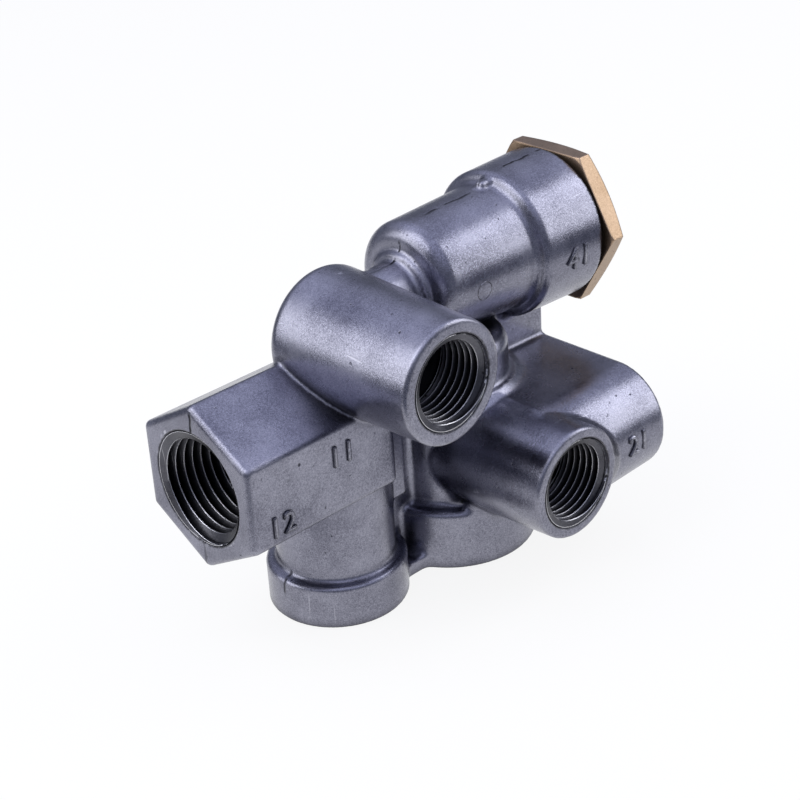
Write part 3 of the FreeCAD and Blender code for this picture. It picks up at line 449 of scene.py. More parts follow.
def surface_of(grid, low):
    """Quads on the field's zero surface, with every vertex slid onto it."""
    level_set = openvdb.FloatGrid()
    level_set.background = BAND
    level_set.gridClass = openvdb.GridClass.LEVEL_SET
    level_set.copyFromArray(grid)
    points, triangles, quads = level_set.convertToPolygons(isovalue=0.0, adaptivity=0.0)
    points = low + points.astype(float) * VOXEL
    for _ in range(SLIDES):
        off, slope = casting_field(points)
        off = np.clip(off, -LONGEST_SLIDE, LONGEST_SLIDE)[:, None]
        points -= off * slope / np.maximum((slope ** 2).sum(axis=1), 0.25)[:, None]
    return points, [tuple(reversed(face)) for face in quads.tolist() + triangles.tolist()]


grid, grid_corner = sampled_grid()
skin_points, skin_faces = surface_of(grid, grid_corner)
casting = make_object("casting", skin_points, skin_faces)
print("casting skin:", len(skin_points), "vertices")

# %% [markdown]
# ## Drilling the casting
#
# The mould gives the outside, and drills and boring bars give the inside. Each bore is a
# turned tool with the profile of the CAD part's bore, and a boolean takes it out, which
# keeps the machined rims crisp beside the soft cast edges. The countersinks are a little
# wider than the thread, as a tap needs, and stepped where the cutter chattered. A port has
# a threaded wall down to its depth, then a narrower way to its end. The other bores are
# given by their profiles, as distances along the axis and radii.

# %% Bore profiles
# A countersink's steps, as shares of its depth and of its width.
CHATTER = ((0, 1), (0.16, 0.68), (0.24, 0.80), (0.48, 0.40), (0.56, 0.54), (0.9, 0.0))


def port(mouth, inward, way, end, wall=8.3, depth=11.5, countersink=0.6, per_inch=18, start=100):
    """A port's sizes: two radii, two depths, and its thread, which starts so many degrees round."""
    return {"mouth": mouth, "inward": inward, "way": way, "end": end, "wall": wall, "depth": depth,
            "countersink": countersink, "per_inch": per_inch, "start": start}


PORTS = {
    "reservoir": port((0, 0, 0), (1, 0, 0), 6.2, 38.0, wall=10.3, depth=16.0, per_inch=14, start=150),
    "supply": port((SUPPLY_X, -SUPPLY_REACH, SUPPLY_Z), (0, 1, 0), 5.5, 29.7),
    "near_side": port((RELAY_X, -DELIVERY_REACH, DELIVERY_Z), (0, 1, 0), 4.8, 32.8),
    "far_side": port((RELAY_X, DELIVERY_REACH, DELIVERY_Z), (0, -1, 0), 4.8, 32.8),
    "near_end": port((END_X, -END_Y, DELIVERY_Z), (-1, 0, 0), 4.8, 25.9),
    "far_end": port((END_X, END_Y, DELIVERY_Z), (-1, 0, 0), 4.8, 25.9),
}
PIECE_BORES = {
    "relay": ([(-1, 0), (-1, 13.6), (0.7, 13.6), (0.7, 14.5), (1.9, 14.5), (1.9, 13.6), (4.65, 13.6),
               (4.65, 12.6), (12.5, 12.6), (12.5, 11.0), (16.6, 11.0), (16.6, 9.6), (39.5, 9.6),
               (39.5, 0)], (RELAY_X, 0, BASE_Z), (0, 0, 1)),
    "leg": ([(-1, 0), (-1, 9.0), (0.7, 9.0), (0.7, 9.9), (1.9, 9.9), (1.9, 9.0), (20.5, 9.0), (20.5, 4.2),
             (35.0, 4.2), (35.0, 0)], (LEG_X, 0, BASE_Z), (0, 0, 1)),
    "control": ([(53.0, 0), (53.0, 8.8), (73.6, 8.8), (73.6, 12.0), (80.5, 12.0), (80.5, 12.7), (89.5, 12.7),
                 (89.5, 0)], (0, 0, CONTROL_Z), (1, 0, 0)),
}


def port_tool(name):
    """The tool for one threaded port, from outside its mouth to the end of its way."""
    port = PORTS[name]
    wall, wide, way, depth, end = (port[k] for k in ("wall", "countersink", "way", "depth", "end"))
    chatter = [(wide * along, wall + wide * out) for along, out in CHATTER]
    profile = [(-1, 0), (-1, wall + wide), *chatter, (depth, wall), (depth + wall - way, way), (end, way),
               (end, 0)]
    return turned_mesh(name + "_tool", profile, port["mouth"], port["inward"])


tools = [port_tool(name) for name in PORTS]
tools += [turned_mesh(name + "_tool", *bore) for name, bore in PIECE_BORES.items()]
combine(casting, tools, "DIFFERENCE")
casting.data.validate()
print("drilled casting:", len(casting.data.polygons), "faces")

# %% [markdown]
# ## Shading normals and bored faces
#
# The field also knows the true direction of the surface at every vertex. Given to the mesh
# as its shading normals, it makes highlights run as cleanly as on the real metal. Faces
# that a cutter made keep their own normals. They lie deep under the field's surface, or in
# a countersink, and get a second material later on.

# %% Give the casting its normals and find its bored faces
# The skin is where a corner lies this near the field's surface, and faces nearly its way.
FIELD_REACH, FIELD_AGREES = 0.02, 0.6
# A face was bored if its middle lies this deep, or in the mouth of a port.
BORED_DEPTH, MOUTH_SHARE = 0.12, 1.2


def shade_casting():
    """Set the shading normals, and return how many corners got the field's own."""
    mesh = casting.data
    soften(casting, 35)
    off, slope = casting_field(read_vectors(mesh.vertices, "co") / MM)
    slope /= np.maximum(np.linalg.norm(slope, axis=1), 1e-9)[:, None]
    corner_normals = read_vectors(mesh.corner_normals, "vector")
    corner_vertex = read_numbers(mesh.loops, "vertex_index")
    corner_counts = read_numbers(mesh.polygons, "loop_total")
    face_normals = np.repeat(read_vectors(mesh.polygons, "normal"), corner_counts, axis=0)
    true_normal = slope[corner_vertex]
    agrees = (true_normal * face_normals).sum(axis=1) > FIELD_AGREES
    on_skin = (np.abs(off[corner_vertex]) < FIELD_REACH) & agrees
    corner_normals[on_skin] = true_normal[on_skin]
    mesh.normals_split_custom_set(corner_normals.tolist())
    return int(on_skin.sum())


def bored_faces():
    """A material index for each face: 1 where a cutter made it, and 0 where the mould did."""
    centres = read_vectors(casting.data.polygons, "center") / MM
    bored = np.abs(casting_field(centres)[0]) > BORED_DEPTH
    for port in PORTS.values():
        inward = np.array(port["inward"], float)
        depth = (centres - np.array(port["mouth"])) @ inward
        beside = np.linalg.norm(centres - np.array(port["mouth"]) - depth[:, None] * inward, axis=1)
        wide = port["countersink"]
        sunk = (depth > 0.002) & (depth < MOUTH_SHARE * wide)
        bored |= sunk & (beside < port["wall"] + wide + 0.01)
    return bored.astype(np.int32)


print("corners with the field's normal:", shade_casting())
bored = bored_faces()
print("bored faces:", bored.sum())

# %% [markdown]
# ## Node helpers
#
# Materials and geometry trees are both built from nodes. One helper feeds a node's inputs,
# one adds a node, and another makes a group with named inputs and outputs. The rest are
# short names for the nodes that are needed most.

# %% Node helpers


def feed(tree, node, inputs):
    """Feed a node's inputs from values or from sockets."""
    for key, value in inputs.items():
        if isinstance(value, bpy.types.NodeSocket):
            tree.links.new(value, node.inputs[key])
        else:
            node.inputs[key].default_value = value


def add(tree, kind, inputs=None, **settings):
    """Add a node, set its settings, and feed its inputs."""
    node = tree.nodes.new(kind)
    for name, value in settings.items():
        setattr(node, name, value)
    feed(tree, node, inputs or {})
    return node


def new_group(name, kind, inputs, outputs):
    """A node group with named sockets: its tree, its input node and its output node."""
    tree = bpy.data.node_groups.new(name, kind)
    for label, socket, value in inputs:
        made = tree.interface.new_socket(label, in_out="INPUT", socket_type=socket)
        if value is not None:
            made.default_value = value
    for label, socket in outputs:
        tree.interface.new_socket(label, in_out="OUTPUT", socket_type=socket)
    return tree, tree.nodes.new("NodeGroupInput"), tree.nodes.new("NodeGroupOutput")


def ranged(tree, value, low, high, to_low=0.0, to_high=1.0):
    """Map a value from one range to another, and stop at its ends."""
    node = add(tree, "ShaderNodeMapRange", {"Value": value, "From Min": low, "From Max": high,
                                            "To Min": to_low, "To Max": to_high})
    return node.outputs["Result"]


def calc(tree, operation, first, second=0.0):
    """One arithmetic step between two values or sockets."""
    return add(tree, "ShaderNodeMath", {0: first, 1: second}, operation=operation).outputs[0]


def times(tree, first, second):
    """The product of two values or sockets."""
    return calc(tree, "MULTIPLY", first, second)


def noise(tree, place, scale, detail=2.0, roughness=0.5):
    """A noise value at a scale in waves per metre."""
    return add(tree, "ShaderNodeTexNoise", {"Vector": place, "Scale": scale, "Detail": detail,
                                            "Roughness": roughness}).outputs["Fac"]


def mixed(tree, factor, first, second):
    """A colour between two colours, each given as three numbers or a socket.

    The node has sockets for each kind of data: its colours go in at 6 and 7, and out at 2.
    """
    ends = [c if isinstance(c, bpy.types.NodeSocket) else (*c, 1) for c in (first, second)]
    return add(tree, "ShaderNodeMix", {0: factor, 6: ends[0], 7: ends[1]}, data_type="RGBA").outputs[2]


def new_material(name):
    """A new material, its tree and its main shader."""
    material = bpy.data.materials.new(name)
    material.use_nodes = True
    return material, material.node_tree, material.node_tree.nodes["Principled BSDF"]

# %% [markdown]
# ## Surface groups
#
# A die casting has a fine skin that glitters a little, small dark pits, and hair-thin
# scratches from handling. These are kinds of noise at different scales, and every metal
# here can use them with its own strengths, so they live in one shared group. The
# second group finds the parting line: the mould halves meet in the plane y = 0, and a thin
# broken seam stays there. The third finds where colour stands in for wear and light: sharp
# rims and the rounded edges of the casting get worn bright and a painted highlight, and
# corners and bores get painted shade.

# %% Grain, pits and scratches
SHADER = "ShaderNodeTree"
FLOAT, VECTOR = "NodeSocketFloat", "NodeSocketVector"
# Two lays of scratches: how each is turned, and its waves per metre on three axes.
SCRATCH_LAYS = [((0.3, 0.5, 0.9), (45.0, 2600.0, 45.0)), ((0.9, -0.4, -0.5), (2400.0, 60.0, 60.0))]


def grain_group():
    """Fine grain, broad mottling, pits and scratches, as masks and a height."""
    tree, given, result = new_group(
        "metal_skin", SHADER,
        [("Place", VECTOR, None), ("Grain Scale", FLOAT, 5200.0), ("Pits", FLOAT, 1.0)],
        [(kind, FLOAT) for kind in ("Grain", "Speck", "Mottle", "Pit", "Scratch", "Height")])
    place = given.outputs["Place"]
    grain = noise(tree, place, given.outputs["Grain Scale"], 3.0, 0.7)
    speck = noise(tree, place, 2300.0, 2.0, 0.6)
    mottle = noise(tree, place, 95.0, 4.0, 0.6)
    cells = add(tree, "ShaderNodeTexVoronoi", {"Vector": place, "Scale": 430.0}).outputs["Distance"]
    cells = times(tree, cells, ranged(tree, noise(tree, place, 1100.0), 0.3, 0.7, 0.5, 2.2))
    where = ranged(tree, noise(tree, place, 120.0), 0.45, 0.57)
    pit = times(tree, ranged(tree, cells, 0.04, 0.13, 1.0, 0.0), where)
    pit = times(tree, pit, given.outputs["Pits"])
    lines = []
    for turn, scale in SCRATCH_LAYS:
        laid = add(tree, "ShaderNodeMapping", {"Vector": place, "Rotation": turn, "Scale": scale})
        lines.append(ranged(tree, noise(tree, laid.outputs[0], 1.0, 1.0), 0.735, 0.76))
    scratch = times(tree, calc(tree, "MAXIMUM", *lines),
                    ranged(tree, noise(tree, place, 130.0, 1.0), 0.5, 0.6))
    height = calc(tree, "ADD", grain, times(tree, speck, 0.8))
    height = calc(tree, "SUBTRACT", height, times(tree, pit, 3.0))
    height = calc(tree, "SUBTRACT", height, times(tree, scratch, 0.6))
    feed(tree, result, {"Grain": grain, "Speck": speck, "Mottle": mottle, "Pit": pit, "Scratch": scratch,
                        "Height": height})
    return tree


# Where the seam shows: x and z of a spot, how far it reaches round it, and how dark it is.
SEAM_SPOTS = [
    (82.0, 34.5, 7.0, 1.0), (64.0, 31.9, 9.0, 0.9), (49.4, 26.0, 3.0, 1.0), (-0.5, 12.4, 2.6, 1.0),
    (16.6, -27.0, 2.8, 0.8), (44.0, 24.9, 4.0, 0.5), (99.0, -2.0, 16.0, 0.5), (6.0, -15.0, 9.0, 0.5),
]


def seam_group():
    """A broken line where the mould halves met, in the plane y = 0, near the seam spots."""
    tree, given, result = new_group(
        "parting_seam", SHADER, [("Place", VECTOR, None), ("Width", FLOAT, 0.00034)], [("Seam", FLOAT)])
    place = given.outputs["Place"]
    parts = add(tree, "ShaderNodeSeparateXYZ", {0: place})
    sway = ranged(tree, noise(tree, place, 260.0), 0.3, 0.7, -0.0003, 0.0003)
    away = calc(tree, "ABSOLUTE", calc(tree, "ADD", parts.outputs["Y"], sway))
    line = ranged(tree, calc(tree, "DIVIDE", away, given.outputs["Width"]), 0.4, 1.2, 1.0, 0.0)
    broken = ranged(tree, noise(tree, place, 420.0, 3.0), 0.38, 0.46)
    near = 0.0
    for x, z, reach, strength in SEAM_SPOTS:
        far = add(tree, "ShaderNodeVectorMath", {0: place, 1: (x * MM, 0, z * MM)}, operation="DISTANCE")
        spot = ranged(tree, far.outputs["Value"], 0.7 * reach * MM, reach * MM, strength, 0.0)
        near = calc(tree, "MAXIMUM", near, spot)
    feed(tree, result, {"Seam": times(tree, times(tree, line, broken), near)})
    return tree


def edge_group():
    """Masks for edges that get wear and a painted highlight, for sharp rims, for corners that get painted
    shade, and a softened normal.
    """
    tree, given, result = new_group(
        "edges_and_corners", SHADER,
        [("Edge Radius", FLOAT, 0.0004), ("Round Edges", FLOAT, 0.0), ("Corner Reach", FLOAT, 0.003),
         ("Closed", FLOAT, 0.35), ("Open", FLOAT, 0.9)],
        [("Edge", FLOAT), ("Rim", FLOAT), ("Corner", FLOAT), ("Normal", VECTOR)])
    rounded = add(tree, "ShaderNodeBevel", {"Radius": given.outputs["Edge Radius"]}, samples=6).outputs[0]
    shape = add(tree, "ShaderNodeNewGeometry").outputs
    alike = add(tree, "ShaderNodeVectorMath", {0: rounded, 1: shape["Normal"]}, operation="DOT_PRODUCT")
    sharp = ranged(tree, alike.outputs["Value"], 0.95, 0.998, 1.0, 0.0)
    place = add(tree, "ShaderNodeTexCoord").outputs["Object"]
    rubbed = ranged(tree, noise(tree, place, 900.0, 3.0, 0.7), 0.4, 0.6)
    # Rounded convex edges get a lighter mask: partly rubbed wear, partly a painted highlight.
    round_edge = times(tree, ranged(tree, shape["Pointiness"], 0.525, 0.6), rubbed)
    round_edge = times(tree, round_edge, given.outputs["Round Edges"])
    # Ambient occlusion gives the corner mask: painted shade in corners, creases and bores.
    opened = add(tree, "ShaderNodeAmbientOcclusion", {"Distance": given.outputs["Corner Reach"]}, samples=8)
    corner = ranged(tree, opened.outputs["AO"], given.outputs["Closed"], given.outputs["Open"], 1.0, 0.0)
    clear = calc(tree, "SUBTRACT", 1.0, corner)
    edge = times(tree, calc(tree, "MAXIMUM", sharp, round_edge), clear)
    feed(tree, result, {"Edge": edge, "Rim": times(tree, sharp, clear), "Corner": corner, "Normal": rounded})
    return tree


METAL_SKIN, PARTING_SEAM, EDGES = grain_group(), seam_group(), edge_group()

# %% [markdown]
# ## Materials
#
# One function makes every metal: a base colour that the masks lighten and darken, a
# roughness that varies a little, and a bump for grain. The casting, its bores, the
# cut threads and the brass only differ in their values. Rubber and plastic are simpler.
# Reach, radius and relief are in metres, and the other numbers are shares.

# %% Metals


def metal(name, dark, light, roughness, grain_scale=5200.0, pits=1.0, grain=0.5, seam=0.0, corner_shade=0.6,
          corner_reach=0.003, closed=0.35, opened=0.9, edge_radius=0.0003, relief=0.00002, edge_wear_and_highlight=0.45,
          chips=0.0, wear_and_highlight_colour=None, round_edges=0.0):
    """A satin metal, with grain, pits, scratches, a seam, chipped edges, edges worn bright with a painted
    highlight, and painted shade in corners.
    """
    material, tree, shader = new_material(name)
    place = add(tree, "ShaderNodeTexCoord").outputs["Object"]
    skin = add(tree, "ShaderNodeGroup", {"Place": place, "Grain Scale": grain_scale, "Pits": pits},
               node_tree=METAL_SKIN).outputs
    edges = add(tree, "ShaderNodeGroup", {
        "Edge Radius": edge_radius, "Round Edges": round_edges, "Corner Reach": corner_reach,
        "Closed": closed, "Open": opened}, node_tree=EDGES).outputs
    tone = times(tree, calc(tree, "SUBTRACT", skin["Grain"], 0.5), 2.6 * grain)
    speck = times(tree, calc(tree, "SUBTRACT", skin["Speck"], 0.5), 0.75 * grain)
    tone = calc(tree, "ADD", calc(tree, "ADD", tone, speck),
                ranged(tree, skin["Mottle"], 0.3, 0.7, 0.22, 0.78))
    tone = add(tree, "ShaderNodeClamp", {"Value": tone}).outputs[0]
    wear_and_highlight_colour = wear_and_highlight_colour or tuple(min(1.0, c * 1.35) for c in light)
    colour = mixed(tree, tone, dark, light)
    colour = mixed(tree, times(tree, skin["Scratch"], 0.3), colour, wear_and_highlight_colour)
    # Edges get lighter here: partly wear, partly a painted highlight.
    colour = mixed(tree, times(tree, edges["Edge"], edge_wear_and_highlight), colour, wear_and_highlight_colour)
    # Painted shade: corners that ambient occlusion finds get darker.
    shade_and_grime = times(tree, edges["Corner"], corner_shade)
    if chips:
        chipped = ranged(tree, noise(tree, place, 900.0, 4.0, 0.75), 0.41, 0.48, 0.0, chips)
        shade_and_grime = calc(tree, "MAXIMUM", shade_and_grime, times(tree, edges["Rim"], chipped))
    shade_and_grime = calc(tree, "MAXIMUM", shade_and_grime, times(tree, skin["Pit"], 0.8))
    height = skin["Height"]
    if seam:
        line = add(tree, "ShaderNodeGroup", {"Place": place}, node_tree=PARTING_SEAM).outputs["Seam"]
        shade_and_grime = calc(tree, "MAXIMUM", shade_and_grime, times(tree, line, seam))
        height = calc(tree, "SUBTRACT", height, times(tree, line, 3.0 * seam))
    # Painted shade in corners, chips, pits and the seam all darken the colour towards this near-black.
    colour = mixed(tree, shade_and_grime, colour, tuple(0.16 * c for c in dark))
    rough = ranged(tree, skin["Mottle"], 0.3, 0.7, roughness - 0.05, roughness + 0.07)
    rough = calc(tree, "ADD", rough, times(tree, shade_and_grime, 0.25))
    bump = add(tree, "ShaderNodeBump", {"Strength": 1.0, "Distance": relief, "Height": height,
                                        "Normal": edges["Normal"]})
    feed(tree, shader, {"Base Color": colour, "Metallic": 1.0, "Roughness": rough, "Normal": bump.outputs[0]})
    return material


def plain(name, colour, roughness):
    """Rubber or plastic: a dark surface with a little mottling and a fine moulded skin."""
    material, tree, shader = new_material(name)
    place = add(tree, "ShaderNodeTexCoord").outputs["Object"]
    broad = noise(tree, place, 160.0, 3.0)
    fine = noise(tree, place, 4000.0)
    tone = mixed(tree, broad, colour, tuple(1.25 * c + 0.006 for c in colour))
    rough = ranged(tree, broad, 0.3, 0.7, roughness - 0.06, roughness + 0.06)
    bump = add(tree, "ShaderNodeBump", {"Strength": 1.0, "Distance": 0.00001, "Height": fine})
    feed(tree, shader, {"Base Color": tone, "Roughness": rough, "Normal": bump.outputs[0]})
    return material


# The casting's edges get a near-white painted highlight as well as wear, and its corners get painted shade.
CAST = metal(
    "cast_skin", (0.100, 0.101, 0.135), (0.345, 0.347, 0.420), 0.25, seam=1.0, grain=0.85, relief=0.000019,
    corner_shade=0.75, edge_wear_and_highlight=0.8, wear_and_highlight_colour=(0.60, 0.60, 0.68), round_edges=1.0, chips=0.97, edge_radius=0.0006)
# Bore walls and threads are much darker than the cast skin, and their ambient occlusion reaches deep: this is
# painted shade inside the bores.
SHADED_BORE = metal(
    "bored_wall_painted_shade", (0.06, 0.06, 0.075), (0.24, 0.24, 0.275), 0.38, grain_scale=3600.0, pits=1.6,
    corner_shade=0.97, corner_reach=0.03, closed=0.3, opened=0.75, relief=0.00003, edge_wear_and_highlight=0.6, chips=0.97,
    edge_radius=0.0006)
# The thread crests get a bright painted highlight.
SHADED_THREAD = metal(
    "cut_thread_painted_shade", (0.03, 0.03, 0.037), (0.145, 0.145, 0.165), 0.3, pits=1.6, corner_shade=1.0,
    corner_reach=0.011, closed=0.22, opened=0.66, edge_radius=0.0002, edge_wear_and_highlight=1.0, wear_and_highlight_colour=(0.85, 0.85, 0.9))
TURNED = metal("turned_aluminium_skin", (0.58, 0.59, 0.61), (0.80, 0.81, 0.82), 0.28, pits=0.1, grain=0.3)
BRASS = metal("brass_skin", (0.22, 0.150, 0.095), (0.50, 0.365, 0.255), 0.34, pits=1.2, grain=0.7,
              edge_radius=0.0005, relief=0.000012)
SPRING = metal("spring_steel_skin", (0.30, 0.30, 0.31), (0.52, 0.52, 0.54), 0.3, pits=0.2)
RING = metal("ring_steel_skin", (0.12, 0.12, 0.12), (0.30, 0.29, 0.28), 0.42, pits=0.6)
RUBBER = plain("rubber_skin", (0.02, 0.02, 0.022), 0.62)
PLASTIC = plain("moulded_plastic_skin", (0.028, 0.028, 0.032), 0.45)
NODE_MATERIALS = {
    "cast_aluminium": CAST, "turned_aluminium": TURNED, "brass": BRASS, "rubber": RUBBER,
    "spring_steel": SPRING, "ring_steel": RING, "black_plastic": PLASTIC,
}
for subpart in frame["record"]["subparts"]:
    node = nodes[subpart["node"]]
    node.data.materials.clear()
    node.data.materials.append(NODE_MATERIALS[subpart["material_slot"]])
wear(casting, "valve_body", "cast_aluminium", CAST, SHADED_BORE)
casting.data.polygons.foreach_set("material_index", bored)
print("materials:", len(bpy.data.materials))

# %% [markdown]
# ## Pipe threads
#
# An internal thread is a ridge that winds along the bore wall. Geometry Nodes follow such
# a path well: a spiral curve gives the path, a trapezoid gives the tooth, and one node
# sweeps it. A tap leaves a right-handed thread. The countersink cuts its first turn away
# down to a cone, and its last turns fade out, which a few lines of vertex code do after.

# %% The thread tree
INCH = 25.4
BURIED = 0.18
SPIRAL_STEPS = 90
# Widths of the tooth at foot and crest, and its height, as shares of the pitch.
FOOT_SHARE, CREST_SHARE, TOOTH_SHARE = 0.94, 0.1, 0.72
# How the radius shrinks with depth, how steep the countersink's cut is, and the fading turns.
TAPER_SHARE, CUT_SLOPE, FADING_TURNS = 1 / 32, 4.0, 1.6


def thread_tree():
    """A tooth swept along a tapering right-handed spiral."""
    tree, given, result = new_group(
        "thread_ridge", "GeometryNodeTree",
        [("Turns", FLOAT, 8.0), ("Foot Radius", FLOAT, 0.01), ("Taper", FLOAT, 0.0), ("Depth", FLOAT, 0.015),
         ("Tooth", FLOAT, 0.001), ("Pitch", FLOAT, 0.0018), ("Material", "NodeSocketMaterial", None)],
        [("Geometry", "NodeSocketGeometry")])
    size = given.outputs
    middle = calc(tree, "SUBTRACT", size["Foot Radius"], times(tree, size["Tooth"], 0.5))
    inner = calc(tree, "SUBTRACT", middle, size["Taper"])
    spiral = add(tree, "GeometryNodeCurveSpiral", {
        "Resolution": SPIRAL_STEPS, "Rotations": size["Turns"], "Start Radius": middle, "End Radius": inner,
        "Height": size["Depth"], "Reverse": True})
    levelled = add(tree, "GeometryNodeSetCurveNormal", {"Curve": spiral.outputs[0]}, mode="Z_UP")
    tooth = add(tree, "GeometryNodeCurvePrimitiveQuadrilateral", {
        "Height": size["Tooth"], "Bottom Width": times(tree, size["Pitch"], FOOT_SHARE),
        "Top Width": times(tree, size["Pitch"], CREST_SHARE), "Offset": 0.0}, mode="TRAPEZOID")
    turned = add(tree, "GeometryNodeTransform", {
        "Geometry": tooth.outputs[0], "Rotation": (0, 0, math.radians(90))})
    swept = add(tree, "GeometryNodeCurveToMesh", {
        "Curve": levelled.outputs[0], "Profile Curve": turned.outputs[0], "Fill Caps": True})
    real = add(tree, "GeometryNodeRealizeInstances", {0: swept.outputs[0]})
    painted = add(tree, "GeometryNodeSetMaterial", {
        "Geometry": real.outputs[0], "Material": size["Material"]})
    feed(tree, result, {"Geometry": painted.outputs[0]})
    return tree


THREAD_TREE = thread_tree()


def grown(name, tree, values):
    """The plain mesh that a geometry tree makes with these input values."""
    thing = linked(name, bpy.data.meshes.new(name))
    step = thing.modifiers.new("grow", "NODES")
    step.node_group = tree
    for item in tree.interface.items_tree:
        if item.item_type == "SOCKET" and item.in_out == "INPUT" and item.name in values:
            step[item.identifier] = values[item.name]
    settle(thing)
    return thing


def port_thread(name, port, material, material_slot):
    """The thread of one port, from its countersink to where the tap stopped."""
    wall, depth, pitch = port["wall"], port["depth"], INCH / port["per_inch"]
    tooth = TOOTH_SHARE * pitch
    thread = grown(name, THREAD_TREE, {
        "Turns": (depth + pitch / 2) / pitch, "Foot Radius": (wall + BURIED) * MM,
        "Taper": depth * TAPER_SHARE * MM, "Depth": (depth + pitch / 2) * MM, "Tooth": (tooth + BURIED) * MM,
        "Pitch": pitch * MM, "Material": material})
    points = read_vectors(thread.data.vertices, "co") / MM
    along = points[:, 2] - pitch / 4
    radius = np.hypot(points[:, 0], points[:, 1])
    angle = np.arctan2(points[:, 1], points[:, 0]) + math.radians(port["start"])
    cut_rim = wall + port["countersink"] - np.maximum(along, 0) * CUT_SLOPE
    faded = wall - (depth - along) * tooth / (FADING_TURNS * pitch)
    wanted = np.maximum(radius, np.minimum(np.maximum(cut_rim, faded), wall + BURIED))
    along = np.clip(along, 0.05, depth - 0.02)
    first, second, axis = axis_frame(port["inward"])
    placed = (np.array(port["mouth"], float) + along[:, None] * axis
              + (wanted * np.cos(angle))[:, None] * first
              + (wanted * np.sin(angle))[:, None] * second)
    thread.data.vertices.foreach_set("co", (placed * MM).ravel())
    thread.data.update()
    face_outwards(thread)
    soften(thread, 40)
    wear(thread, None, material_slot, material)
    return thread


for name, sizes in PORTS.items():
    thread = port_thread(name + "_thread", sizes, SHADED_THREAD, "cast_aluminium")
    print(name, "thread:", len(thread.data.polygons), "faces")

# %% [markdown]
# ## The brass port fitting
#
# The fitting is a hexagon turned at both ends, so its corners are cut back by a cone. That
# is what a boolean between a prism and a turned blank gives, just as on the lathe. The
# threaded control port goes through it.

# %% Build the fitting
FITTING_FLATS, FITTING_START, FITTING_END = 28.9, 88.9, 92.8
FITTING_AXIS = ((0, 0, CONTROL_Z), (1, 0, 0))
SPIGOT = [(80.55, 0), (80.55, 12.65), (89.0, 12.65), (89.0, 0)]
FITTING_PORT = port((FITTING_END, 0, CONTROL_Z), (-1, 0, 0), 3.4, 13.0, wall=6.5, depth=9.5, countersink=0.5,
                    start=0)


def brass_fitting():
    """The hexagon, the spigot behind it, and the port through both."""
    corner = FITTING_FLATS / math.sqrt(3)
    vertices = []
    for x in (FITTING_START, FITTING_END):
        for k in range(6):
            angle = math.radians(60 * k)
            vertices.append((x, corner * math.cos(angle), CONTROL_Z + corner * math.sin(angle)))
    sides = [(k, (k + 1) % 6, (k + 1) % 6 + 6, k + 6) for k in range(6)]
    fitting = make_object("brass_fitting", vertices, [tuple(range(6)), tuple(range(6, 12))] + sides)
    face_outwards(fitting)
    bevel = turned_mesh("fitting_bevel", [
        (FITTING_START, 0), (FITTING_START, corner - FINE_ROUND),
        (FITTING_START + FINE_ROUND, corner + FINE_ROUND),
        (FITTING_END - 2 * FINE_ROUND, corner + FINE_ROUND),
        (FITTING_END, FITTING_FLATS / 2 - FINE_ROUND / 2), (FITTING_END, 0)], *FITTING_AXIS)
    combine(fitting, [bevel], "INTERSECT")
    combine(fitting, [turned_mesh("fitting_spigot", SPIGOT, *FITTING_AXIS)], "UNION")
    wall, wide, way, depth, end = (FITTING_PORT[k] for k in ("wall", "countersink", "way", "depth", "end"))
    bore = turned_mesh("fitting_port", [
        (-1, 0), (-1, wall + wide), (0, wall + wide), (wide, wall), (depth, wall), (depth, way), (end, way),
        (end, 0)], FITTING_PORT["mouth"], FITTING_PORT["inward"])
    combine(fitting, [bore], "DIFFERENCE")
    soften(fitting, 20)
    wear(fitting, "control_port_fitting", "brass", BRASS)
    return fitting


brass = brass_fitting()
port_thread("control_thread", FITTING_PORT, BRASS, "brass")
print("fitting:", len(brass.data.polygons), "faces")

# %% [markdown]
# ## Port numbers and the ejector mark
#
# Castings carry raised marks, cut into the mould. Plain port numbers stand here. A text
# curve becomes a mesh, and each of its points is then laid on the surface it belongs to:
# straight on a flat, or wrapped round a cylinder, with its height as a distance outwards.

# %% Raised marks
MARK_RISE = 0.32
MARK_SUNK = 0.25
# A digit's height is this share of the font size; its bevel is in millimetres.
DIGIT_HEIGHT, DIGIT_BEVEL, DIGIT_SPACING = 0.69, 0.07, 1.12
# The ring's section, as distances from its middle line and rises.
RING_STEPS, RING_SECTION = 40, ((-0.16, -0.1), (-0.06, 0.06), (0.06, 0.06), (0.16, -0.1))


def on_flat(across, upward, rise):
    """The reservoir hexagon's upright flat on the supply side."""
    return across, -HEX_FLATS / 2 - rise, upward


def on_cylinder(radius_at, centre_y, centre_z):
    """A mapping onto the supply side of a cylinder along X."""
    def lay(across, upward, rise):
        angle = (upward - centre_z) / radius_at(across)
        reach = radius_at(across) + rise
        return across, centre_y - reach * math.cos(angle), centre_z + reach * math.sin(angle)
    return lay


on_control = on_cylinder(lambda x: cone_radius(x, *CONTROL_LARGE), 0, CONTROL_Z)
on_small_control = on_cylinder(lambda x: cone_radius(x, *CONTROL_SMALL), 0, CONTROL_Z)
on_end_boss = on_cylinder(boss_radius, -END_Y, DELIVERY_Z)


def lay_on(thing, lay):
    """Map a mesh in (across, upward, rise) millimetres onto a surface."""
    for vertex in thing.data.vertices:
        vertex.co = Vector(lay(*vertex.co)) * MM
    face_outwards(thing)
    soften(thing, 40)
    wear(thing, None, "cast_aluminium", CAST)
    return thing


